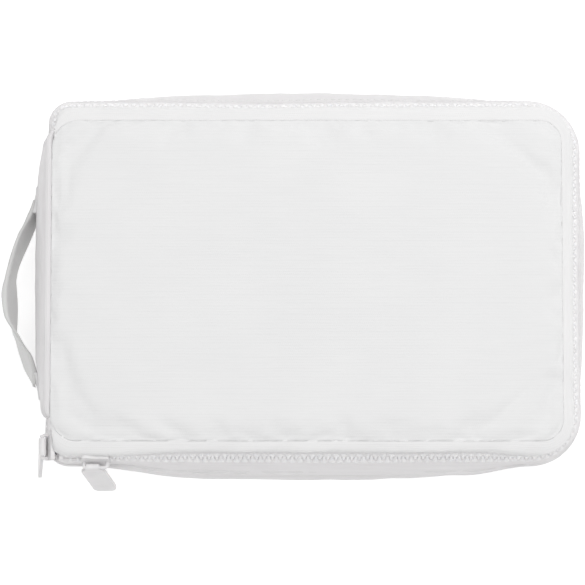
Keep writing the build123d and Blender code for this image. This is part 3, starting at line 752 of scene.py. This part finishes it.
def tooth_row(name, node, body, start, side):
    """One row of moulded teeth; side is 1 for the upper row and -1 for the lower."""
    template = tooth_points()
    points, faces = [], []
    for distance in np.arange(start, chain_distance[-1] - CHAIN_END_ROOM, TOOTH_PITCH):
        if abs(distance - OPEN_START) < UNDER_LEFT_SLIDER:
            continue
        if abs(distance - OPEN_END) < UNDER_BOTTOM_SLIDER:
            continue
        x, y, out_x, out_y, waver, more = read_at(distance, chain_distance, chain_table)
        out = unit(np.array([out_x, out_y, 0]))
        along = np.array([-out[1], out[0], 0])
        lean = math.atan(math.tan(CHAIN_LEAN) + more)
        face = out * math.cos(lean) + np.array([0, 0, math.sin(lean)])
        up = np.cross(face, along)
        origin = np.array([x, y, HINGE.z]) + out * waver
        origin += up * side * (TOOTH_LENGTH - TOOTH_REACH + parting(distance))
        tooth = origin + template[:, :1] * along - template[:, 1:2] * up * side
        tooth = tooth + template[:, 2:] * face
        if side < 0:
            tooth = tooth.reshape(len(TOOTH_STATIONS), -1, 3)[:, ::-1].reshape(-1, 3)
        first = len(points) * len(template)
        faces.extend(closed_tube(len(TOOTH_STATIONS), len(TOOTH_SECTION), first))
        points.append(tooth)
    piece = make_object(name, np.concatenate(points), faces, plastic)
    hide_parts(node)
    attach(piece, body)


# ---- Upper gusset


def upper_outline(share):
    """The upper gusset's outline, from the tape (0) up to the front seam (1)."""
    tape_out = lean_out(UPPER_EDGE) + TAPE / 2 + CLOTH / 2
    curve = UPPER_CURVE * math.sin(math.pi * share)
    return outline(
        -(SEAM_X + (tape_out - CHAIN_IN_SPINE) * (1 - share)),
        SEAM_X + (CHAIN_OUT_FORE + tape_out) * (1 - share) + curve * CHAIN_OUT_FORE,
        SEAM_Y + (CHAIN_OUT_LONG + tape_out) * (1 - share) + curve * CHAIN_OUT_LONG,
        between(CHAIN_SPINE_CORNER + tape_out, FRONT_SPINE_CORNER, share),
        between(CHAIN_FORE_CORNER + tape_out, FORE_CORNER, share),
    )


def upper_gusset():
    """The narrow wall between the front seam and the zipper."""
    rows = []
    for share in np.linspace(0, 1, 15):
        points = upper_outline(share)
        distance = lengths_along(points)
        swell = math.sin(math.pi * share)
        out = share**2 * gathers(distance, UPPER_GATHERS)
        out += swell * waves(distance, UPPER_SWELLS)
        out += chain_wander * (1 - share) - SEAM_TUCK * share**6
        out += MORE_LEAN * (HINGE.z - UPPER_EDGE) * (1 - share)
        out += LEFT_SLIDER_ROOM * AT_LEFT_SLIDER * (1 - share)
        z = between(UPPER_EDGE, UPPER_SEAM + 0.1 * MM, share)
        lift = UPPER_LIFT * swell * (1 + waves(distance, UPPER_LIFT_CHANGES))
        if share < 0.3:
            out += HEM_ROLL * math.sin(math.pi * share / 0.3)
        rows.append(level(points + outward_of(points) * out[:, None], z + lift))
    piece, length, height = cloth_strip("gusset_upper_cloth", rows, painted_light_band_finish)
    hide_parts("upper_gusset")
    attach(piece, "case_cover")
    hem_stitches("gusset_upper_stitches", "case_cover", rows, UPPER_EDGE + 0.7 * MM)


# ---- Stitches

STITCH_SIDES = 5
# A stitch's sections: share of its length from the middle, share of its radius
STITCH_SECTIONS = [(-0.5, 0.35), (-0.38, 1.0), (0.38, 1.0), (0.5, 0.35)]


def stitches(name, body, line, outward):
    """A row of sewn stitches along a line of points, lying on the cloth."""
    distance = lengths_along(line)
    points, faces = [], []
    ring = np.linspace(0, 2 * math.pi, STITCH_SIDES, endpoint=False)
    for start in np.arange(STITCH_PITCH / 2, distance[-1] - STITCH_PITCH / 2, STITCH_PITCH):
        middle = read_at(start, distance, line)
        ahead = unit(read_at(start + MM, distance, line) - middle)
        out = unit(read_at(start, distance, outward))
        side = np.cross(ahead, out)
        first = len(points)
        for along, wide in STITCH_SECTIONS:
            center = middle + ahead * along * STITCH_LENGTH - out * STITCH_RADIUS * (1 - wide)
            for angle in ring:
                around = side * math.cos(angle) + out * math.sin(angle)
                points.append(center + STITCH_RADIUS * wide * around)
        faces.extend(closed_tube(len(STITCH_SECTIONS), STITCH_SIDES, first))
    piece = make_object(name, points, faces, thread)
    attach(piece, body)
    return piece


def hem_stitches(name, body, rows, height):
    """Stitches along a strip's row at a height, on its outer face."""
    rows = np.asarray(rows)
    index = int(np.argmin(np.abs(rows[:, :, 2].mean(axis=1) - height)))
    across = rows[min(index + 1, len(rows) - 1)] - rows[max(index - 1, 0)]
    normals = unit(np.cross(np.gradient(rows[index], axis=0), across))
    stitched = stitches(name, body, rows[index] + normals * 0.05 * MM, normals)


# ---- Panels


def graded(half, step):
    """Places from -half to half, close together near both ends."""
    edge = np.array([0, 0.5, 1.1, 1.8, 2.7, 3.8, 5.2, 7.0]) * MM
    inner = half - edge[-1]
    count = max(2, int(round(2 * inner / step)))
    middle = np.linspace(-inner, inner, count + 1)
    return np.concatenate([-half + edge[:-1], middle, (half - edge[:-1])[::-1]])


def panel_grid(half_x, half_y, spine_radius, fore_radius, step):
    """A grid over a rounded rectangle: plan points and each one's distance in from the edge."""
    x, y = np.meshgrid(graded(half_x, step), graded(half_y, step))
    inward = np.minimum(half_x - np.abs(x), half_y - np.abs(y))
    radius = np.where(x < 0, spine_radius, fore_radius)
    past_x = np.abs(x) - (half_x - radius)
    past_y = np.abs(y) - (half_y - radius)
    in_corner = (past_x > 0) & (past_y > 0)
    long_side = np.hypot(past_x, past_y)
    pull = np.where(in_corner, np.maximum(past_x, past_y) / np.maximum(long_side, 1e-9), 1.0)
    new_x = np.where(in_corner, np.sign(x) * (half_x - radius + past_x * pull), x)
    new_y = np.where(in_corner, np.sign(y) * (half_y - radius + past_y * pull), y)
    return new_x, new_y, inward


def smooth_field(x, y, fold):
    """Smooth seeded waves over the plan; fold is their height, spacing and seed."""
    height, spacing, seed = fold
    u = (x - x.min()) / spacing
    v = (y - y.min()) / spacing
    knots = np.random.RandomState(seed).uniform(-1, 1, (int(v.max()) + 3, int(u.max()) + 3))
    i, j = np.floor(v).astype(int), np.floor(u).astype(int)
    a, b = eased(v - i), eased(u - j)
    low = between(knots[i, j], knots[i, j + 1], b)
    high = between(knots[i + 1, j], knots[i + 1, j + 1], b)
    return height * between(low, high, a)


def puckers(x, y, inward, fold, middle):
    """Small gathers round a panel's edge, fading out away from it."""
    around = np.arctan2(y / y.max(), x / x.max()) * 100 * MM + 400 * MM
    return gathers(around, fold, middle) * np.exp(-((inward / PUCKER_REACH) ** 2))


def drawn_in(x, y, inset, z):
    """Grid points brought in from the edge by an inset, all at one height."""
    inner_x = x * (1 - inset / x.max())
    inner_y = y * (1 - inset / y.max())
    return np.stack([inner_x, inner_y, np.full_like(x, z)], axis=2)


def border(rows, columns):
    """Indices of a grid's edge points, counterclockwise."""
    bottom = [c for c in range(columns)]
    right = [r * columns + columns - 1 for r in range(1, rows)]
    top = [(rows - 1) * columns + c for c in range(columns - 2, -1, -1)]
    left = [r * columns for r in range(rows - 2, 0, -1)]
    return bottom + right + top + left


def closed_pad(name, top, floor, finish):
    """A closed pad between two grids of points that share one layout."""
    rows, columns = top.shape[:2]
    count = rows * columns
    faces = grid_faces(rows, columns)
    faces += [tuple(reversed(f)) for f in grid_faces(rows, columns, count)]
    edge = border(rows, columns)
    for here, there in zip(edge, edge[1:] + edge[:1]):
        faces.append((there, here, here + count, there + count))
    points = np.concatenate([top.reshape(-1, 3), floor.reshape(-1, 3)])
    return make_object(name, points, faces, finish)


# How the wadding's push and the cloth answer while the front panel is puffed up
PUFF_STEPS = 20
PUFF_PRESSURE = 4.0
PUFF_GROW = 0.012
PUFF_CAP = 0.9 * MM
PUFF_SETTINGS = {
    "quality": 6,
    "mass": 0.0004,
    "tension_stiffness": 12,
    "compression_stiffness": 12,
    "shear_stiffness": 6,
    "bending_stiffness": 0.05,
    "tension_damping": 8,
    "compression_damping": 8,
    "shear_damping": 8,
    "air_damping": 4,
    "vertex_group_mass": "seam",
    "use_pressure": True,
}


def inflate(top):
    """Puffs a sheet of grid points with its edge held, as wadding does; gives the new points."""
    rows, columns = top.shape[:2]
    sheet = make_object("puffing_sheet", top.reshape(-1, 3), grid_faces(rows, columns), wadding)
    held = sheet.vertex_groups.new(name="seam")
    held.add(border(rows, columns), 1.0, "REPLACE")
    cloth = sheet.modifiers.new("puff", "CLOTH")
    for label, value in PUFF_SETTINGS.items():
        setattr(cloth.settings, label, value)
    cloth.settings.shrink_min = -PUFF_GROW
    cloth.settings.uniform_pressure_force = PUFF_PRESSURE
    cloth.settings.effector_weights.gravity = 0
    cloth.point_cache.frame_start = 1
    cloth.point_cache.frame_end = PUFF_STEPS
    scene = bpy.context.scene
    for number in range(1, PUFF_STEPS + 1):
        scene.frame_set(number)
    shaped = sheet.evaluated_get(bpy.context.evaluated_depsgraph_get())
    moved = np.zeros(len(shaped.data.vertices) * 3, np.float32)
    shaped.data.vertices.foreach_get("co", moved)
    moved = moved.reshape(rows, columns, 3).astype(float) - top
    scene.frame_set(1)
    bpy.data.objects.remove(sheet)
    size = np.linalg.norm(moved, axis=2, keepdims=True)
    return top + moved * np.minimum(1, PUFF_CAP / np.maximum(size, 1e-9))


def front_panel():
    """The padded front: its cloth rolls down all round into the seam."""
    x, y, inward = panel_grid(SEAM_X, SEAM_Y, FRONT_SPINE_CORNER, FORE_CORNER, 2.2 * MM)
    share = np.clip(inward / PANEL_ROLL, 0, 1)
    rise = PANEL_RISE * np.sin(share * math.pi / 2) ** 0.9
    crown = PANEL_CROWN * (1 - (x / SEAM_X) ** 6) * (1 - (y / SEAM_Y) ** 4)
    slack = smooth_field(x, y, FRONT_SLACK) + smooth_field(x, y, FRONT_WRINKLES)
    pucker = puckers(x, y, inward, FRONT_PUCKERS, 0.5)
    fade = np.clip(inward / (1.2 * MM), 0, 1)
    z = SEAM_Z + rise + (crown + slack + pucker) * fade
    top = np.stack([x, y, z], axis=2)
    top = inflate(top)
    floor = drawn_in(x, y, FRONT_INSET, PAD_FLOOR + 0.05 * MM)
    pad = closed_pad("front_pad", top, floor, canvas)
    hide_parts("front_panel_cover", "front_panel_foam")
    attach(pad, "case_cover")


def back_panel():
    """The padded back, pressed flat by what it lies on, its edge turned up into the foot seam."""
    x, y, inward = panel_grid(
        foot_high.x, foot_high.y, SPINE_CORNER + FOOT_OUT, FORE_CORNER + FOOT_OUT, 3.0 * MM
    )
    share = np.clip(inward / BACK_ROLL, 0, 1)
    pucker = puckers(x, y, inward, BACK_PUCKERS, 0)
    rolled = BACK_EDGE_RISE * (1 - np.sqrt(np.maximum(0, 1 - (1 - share) ** 2)))
    bottom = np.stack([x, y, rolled + pucker * (share < 1)], axis=2)
    top = drawn_in(x, y, BACK_INSET, BACK_PAD_TOP - 0.02 * MM)
    pad = closed_pad("back_pad", top, bottom, canvas)
    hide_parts("back_panel_cover", "back_panel_foam")
    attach(pad, "case_back")


# ---- Spine

# Spine cloth's section in mm from the hinge: outward from it, and up from it
SPINE_SECTION = [
    (-0.2, -35.9), (1.6, -32.0), (3.4, -26.5), (4.1, -21.0), (3.6, -15.5),
    (2.1, -10.5), (0.9, -6.0), (0.35, -2.5), (0.1, 0.0), (-0.1, 2.4),
    (-0.6, 4.7), (-1.3, 6.6), (-2.2, 7.9), (-3.1, 8.3), (-4.0, 8.1),
    (-4.8, 7.4), (-5.3, 7.0),
]


def smooth_line(knots, count):
    """Points of a smooth curve through knots, evenly spaced along it."""
    knots = np.asarray(knots, float)
    padded = np.vstack([2 * knots[0] - knots[1], knots, 2 * knots[-1] - knots[-2]])
    fine = []
    for a, b, c, d in zip(padded, padded[1:], padded[2:], padded[3:]):
        square = 2 * a - 5 * b + 4 * c - d
        cube = 3 * b - a - 3 * c + d
        for t in np.linspace(0, 1, 12, endpoint=False):
            fine.append(0.5 * (2 * b + (c - a) * t + square * t**2 + cube * t**3))
    fine = np.array(fine + [knots[-1]])
    distance = lengths_along(fine)
    return read_at(np.linspace(0, distance[-1], count), distance, fine).T


SPINE_CLOTH_HIGH = SPINE_HIGH_END + 2.0 * MM
SPINE_CLOTH_LOW = SPINE_HALF + 2.6 * MM
SPINE_THIN_OUT = 0.9 * MM
SPINE_THIN_LOW = 34 * MM
SPINE_THIN_HIGH = 46 * MM
SPINE_BOW = 0.9 * MM
END_TURN = 2.6 * MM
END_PULL = 4.2 * MM
END_DROP = 1.6 * MM
spine_section = smooth_line(SPINE_SECTION, 56) * MM


def spine_surface(out, height, y):
    """The spine cloth's outer face at places y, drawn in towards both ends; gives x and its drop."""
    from_end = np.where(y > 0, SPINE_CLOTH_HIGH - y, y + SPINE_CLOTH_LOW)
    thin_low = np.clip((-y - SPINE_THIN_LOW) / (26 * MM), 0, 1)
    thin_high = np.clip((y - SPINE_THIN_HIGH) / (19 * MM), 0, 1) ** 1.6
    thin = thin_low + thin_high
    short_turn = 1 - np.sqrt(np.maximum(0, 1 - (1 - np.clip(from_end / (5 * MM), 0, 1)) ** 2))
    long_turn = (1 - np.clip(from_end / (16 * MM), 0, 1)) ** 2
    upper = 1 / (1 + np.exp(-(height - 32 * MM) / (1.6 * MM)))
    climb = np.clip((height - HINGE.z) / (SEAM_Z - HINGE.z), 0, 1)
    free = (1 - climb**2) * (height < SEAM_Z)
    pull = END_TURN * short_turn + END_PULL * long_turn * upper * free
    held = np.sin(math.pi * np.clip((height - WALL_FOOT) / (SEAM_Z + 1 * MM - WALL_FOOT), 0, 1))
    bow = SPINE_BOW * held * (1 - (y / SPINE_CLOTH_HIGH) ** 2)
    puff = held * waves(200 * MM - y + height, SPINE_PUFF)
    puff += np.exp(-((from_end / (9 * MM)) ** 2)) * waves(height + 5 * MM + 0 * y, SPINE_END_CREASES)
    puff += held * waves(300 * MM - y, SPINE_RIPPLES)
    full = out * (1 - thin) + np.minimum(out, SPINE_THIN_OUT) * thin
    x = np.minimum(HINGE.x - full - bow - puff * (1 - thin) + pull, -SEAM_X + 1.5 * MM)
    return x, END_DROP * long_turn * upper


def spine_places(low, high):
    """Places along the spine from its upper end to its lower one, close together near both."""
    return np.concatenate(
        [
            np.linspace(high, high - 12 * MM, 16, endpoint=False),
            np.linspace(high - 12 * MM, low + 12 * MM, 84, endpoint=False),
            np.linspace(low + 12 * MM, low, 17),
        ]
    )


def spine_cloth():
    """One cloth from the foot seam over the spine to the front seam, its ends turned in."""
    y = spine_places(-SPINE_CLOTH_LOW, SPINE_CLOTH_HIGH)
    rows = []
    for out, up in spine_section:
        height = up + HINGE.z
        x, lowered = spine_surface(out, height, y)
        rows.append(np.column_stack([x, y, height - lowered]))
    piece, length, height = cloth_strip("spine_cloth", rows, painted_shade_spine_finish)
    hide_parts("spine_panel", "spine_flap")
    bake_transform(piece)


def spine_wadding():
    """The thin padding behind the spine cloth, thinner still where the cloth is drawn in."""
    foam_low, foam_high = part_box("spine_foam")
    y = spine_places(foam_low.y + 0.5 * MM, foam_high.y - 0.5 * MM)
    outer, inner = [], []
    for out, up in spine_section:
        height = up + HINGE.z
        if foam_low.z < height < foam_high.z - 1 * MM:
            x, _ = spine_surface(out, height, y)
            x = x + CLOTH + 0.15 * MM
            past = np.maximum(-y - SPINE_THIN_LOW, y - SPINE_THIN_HIGH)
            thin = np.clip(past / (20 * MM), 0, 1)
            outer.append(np.column_stack([x, y, np.full_like(y, height)]))
            inner.append(np.column_stack([x + (1.9 - 1.6 * thin) * MM, y, np.full_like(y, height)]))
    pad = closed_pad("spine_wadding", np.array(outer), np.array(inner), wadding)
    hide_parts("spine_foam")
    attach(pad, "case_back")


# ---- Handle

# The strap's centre line from its upper end to its lower end: out from its pivot and along Y, in mm,
# with how far its top edge leans outward there, in degrees
STRAP_LINE = [
    (-1.9, 38.0, 0), (-1.2, 34.0, 4), (-0.1, 30.0, 11), (2.6, 24.5, 20), (5.4, 18.1, 18),
    (8.2, 11.3, 10), (10.3, 4.5, 7), (11.0, -2.3, 12), (10.6, -9.1, 14), (9.8, -15.9, 8),
    (7.2, -22.7, -14), (3.4, -29.5, -25), (0.5, -37.3, -24), (-0.8, -41.6, -15), (-1.9, -46.0, -4),
]
STRAP_WIDTH = 15 * MM
STRAP_THICK = 2.6 * MM
STRAP_DROOP = math.radians(20)
BOX_INSET = 2.2 * MM
PIVOT = joint_place("handle_swing")
PATCH_GRID = 22


# Half of the folded strap's section, its hem fatter than its middle: shares of half its width and
# of half its thickness
STRAP_HALF_SECTION = [
    (0, 0.76), (0.3, 0.78), (0.6, 0.86), (0.84, 1.0), (0.93, 0.95), (0.985, 0.62), (1, 0),
]


def strap_section():
    """The strap's closed section: across its width, and through it."""
    half = np.array(STRAP_HALF_SECTION) * (STRAP_WIDTH / 2, STRAP_THICK / 2)
    front = np.concatenate([half[:0:-1] * (-1, 1), half])
    return np.concatenate([front, front[-2:0:-1] * (1, -1)])


def handle_strap():
    """The strap handle: folded cloth on edge, leaning out at one end and in at the other."""
    knots = np.array([(o * MM, y * MM, math.radians(lean)) for o, y, lean in STRAP_LINE])
    line = smooth_line(knots, 90)
    section = strap_section()
    distance = lengths_along(line[:, :2])
    run = unit(np.gradient(line[:, :2], axis=0))
    crumple = waves(distance, STRAP_CRUMPLE)
    points, uvs = [], []
    around = lengths_along(np.vstack([section, section[:1]]))[:-1]
    from_end = np.minimum(distance, distance[-1] - distance)
    thickness = 0.4 + 0.6 * np.clip(from_end / (7 * MM), 0, 1)
    upward = Vector((0, 0, 1))
    for (out, y, lean), (run_out, run_y), s, fold, thick in zip(
        line, run, distance, crumple, thickness
    ):
        drop = out * math.sin(STRAP_DROOP)
        center = Vector((PIVOT.x - out * math.cos(STRAP_DROOP), y, PIVOT.z - drop))
        outward = Vector((-abs(run_y), -run_out, 0)).normalized()
        width_axis = upward * math.cos(lean) + outward * math.sin(lean)
        face_axis = outward * math.cos(lean) - upward * math.sin(lean)
        for across, through in section:
            dent = fold * math.cos(across / (STRAP_WIDTH / 2) * 2.4) * (1 if through > 0 else -1)
            points.append(center + width_axis * across + face_axis * (through + dent) * thick)
        uvs.extend((s, a) for a in around)
    faces = closed_tube(len(line), len(section))
    piece = make_object("handle_strap_cloth", points, faces, canvas_strap, uvs)
    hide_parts("handle_strap")
    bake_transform(piece)


def handle_patch(name, node, side):
    """A tab sewn over one end of the strap, following the spine, with a stitched box."""
    low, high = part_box(node)
    near, far = (low.y + 2.0 * MM, high.y) if side > 0 else (high.y - 1.2 * MM, low.y)
    ys = np.linspace(near, far, PATCH_GRID)
    zs = np.linspace(low.z, high.z, PATCH_GRID)
    outs = np.interp(zs, spine_section[:, 1] + HINGE.z, spine_section[:, 0])
    ground = np.array([spine_surface(out, z, ys)[0] for out, z in zip(outs, zs)])
    yy, zz = np.meshgrid(ys, zs)
    from_ends = np.minimum(np.abs(yy - near), np.abs(far - yy))
    inward = np.minimum(from_ends, np.minimum(zz - low.z, high.z - zz))
    over_strap = np.clip(1 - (np.abs(yy - near) - 1 * MM) / (8 * MM), 0, 1) ** 1.4
    thick = (0.9 * MM + 1.7 * MM * over_strap) * (0.96 + smooth_field(yy, zz, PATCH_LUMPS))
    puff = thick * (1 - np.exp(-(inward + 0.25 * MM) / (0.5 * MM)))
    puff -= 0.3 * MM * np.exp(-(((inward - BOX_INSET) / (0.6 * MM)) ** 2))
    face = np.stack([ground - puff, yy, zz], axis=2)
    inner = np.stack([ground + 0.3 * MM, yy, zz], axis=2)
    turned = slice(None, None, -side)
    piece = closed_pad(name, face[:, turned], inner[:, turned], canvas)
    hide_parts(node)
    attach(piece, "case_back")
    inset = np.array([BOX_INSET / abs(far - near), BOX_INSET / (high.z - low.z)])
    ends = np.array([(0, 0), (1, 0), (1, 1), (0, 1), (0, 0), (1, 1)])
    corners = np.where(ends, 1 - inset, inset)
    line = []
    for start, end in zip(corners, corners[1:]):
        for t in np.linspace(0, 1, 12, endpoint=False):
            place = (start * (1 - t) + end * t) * (PATCH_GRID - 1)
            column, row = np.round(place).astype(int)
            line.append(face[row, column] - np.array([0.1 * MM, 0, 0]))
    out = np.tile((-1.0, 0, 0), (len(line), 1))
    stitched = stitches(f"{name}_stitches", "case_back", np.array(line), out)


# ---- Carried-over nodes


# The finish of a node by the first of these words in its name
FINISHES = [
    ("slider", slider_plastic), ("puller", slider_plastic), ("zipper_stops", plastic),
    ("endpaper", leaf_paper), ("book_page_block", page_edges), ("book_front_leaves", page_edges),
    ("headband", thread), ("book_", book_cloth), ("lining", lining_cloth),
    ("sleeve", lining_cloth), ("foam", wadding), ("", canvas),
]


def finish_nodes():
    """Gives every node that stays its own finish, softening the edges of the moulded ones."""
    for name, node in frame["nodes"].items():
        finish = next(finish for word, finish in FINISHES if word in name)
        if finish is slider_plastic:
            rounding = node.modifiers.new("moulded_edges", "BEVEL")
            rounding.width = 0.35 * MM
            rounding.segments = 2
            rounding.limit_method = "ANGLE"
            rounding.angle_limit = math.radians(40)
        node.data.materials.clear()
        node.data.materials.append(finish)


# ---- Studio


def studio():
    """Pale floor, soft light all round and above, and the camera nearly straight above."""
    half = 8.0
    corners = [(-half, -half, 0), (half, -half, 0), (half, half, 0), (-half, half, 0)]
    floor = make_object("studio_floor", corners, [(0, 1, 2, 3)], floor_finish())
    world = bpy.data.worlds.new("soft_room")
    bpy.context.scene.world = world
    world.use_nodes = True
    tree = world.node_tree
    background = tree.nodes["Background"]
    coordinate = tree.nodes.new("ShaderNodeTexCoord")
    split = tree.nodes.new("ShaderNodeSeparateXYZ")
    give(split.inputs[0], coordinate.outputs["Generated"])
    strength = map_range(tree, split.outputs["Z"], 0.0, 1.0, 0.14, 1.18)
    set_inputs(background, Strength=strength, Color=(1, 1, 1, 1))
    light = bpy.data.lights.new("soft_box", "AREA")
    light.shape = "RECTANGLE"
    light.size = 0.9
    light.size_y = 0.9
    light.energy = 4.4
    lamp = bpy.data.objects.new("soft_box", light)
    lamp.location = (0.4, 0.55, 1.05)
    towards = Vector((0, 0, 0.03)) - lamp.location
    lamp.rotation_euler = towards.to_track_quat("-Z", "Y").to_euler()
    bpy.context.scene.collection.objects.link(lamp)
    camera_data = bpy.data.cameras.new("camera")
    camera_data.lens = 147
    camera_data.sensor_width = 36
    camera = bpy.data.objects.new("camera", camera_data)
    aim = Vector((-6.3 * MM, -5.7 * MM, cad_high.z))
    tilt = math.radians(4.5)
    distance = 1.05
    camera.location = aim + Vector((0, -math.sin(tilt), math.cos(tilt))) * distance
    camera.rotation_euler = (tilt, 0, 0)
    bpy.context.scene.collection.objects.link(camera)
    bpy.context.scene.camera = camera
    bpy.context.scene.view_settings.view_transform = "Standard"


def floor_finish():
    """Pale paper sweep with the faintest grain."""
    material, tree, shader, coordinate = new_material("pale_sweep")
    shade = placed(tree, SHADE, coordinate.outputs["Object"], Patch_Size=0.4, Fleck_Size=2 * MM)
    factor = map_range(tree, shade.outputs["Patches"], 0.3, 0.7, 0.0, 1.0)
    colour = blend_colour(tree, factor, (0.95, 0.95, 0.95), (0.93, 0.93, 0.93))
    set_inputs(shader, Base_Color=colour, Roughness=0.9)
    set_inputs(shader, Emission_Color=(1, 1, 1, 1), Emission_Strength=0.36)
    return material


# ---- Assembly

studio()
finish_nodes()
front_panel()
back_panel()
lower_gusset()
upper_gusset()
tape_strip(
    "tape_lower_cloth", "zipper_tape_lower", "case_back", WALL_TOP - 2.5 * MM, HINGE.z - TAPE_GAP,
)
tape_strip(
    "tape_upper_cloth", "zipper_tape_upper", "case_cover", HINGE.z + TAPE_GAP, UPPER_EDGE + 1.2 * MM,
)
tooth_row("teeth_lower", "zipper_teeth_lower", "case_back", 3.0 * MM, -1)
tooth_row("teeth_upper", "zipper_teeth_upper", "case_cover", 3.0 * MM + TOOTH_PITCH / 2, 1)
spine_cloth()
spine_wadding()
handle_strap()
handle_patch("handle_patch_upper", "handle_end_upper", 1)
handle_patch("handle_patch_lower", "handle_end_lower", -1)
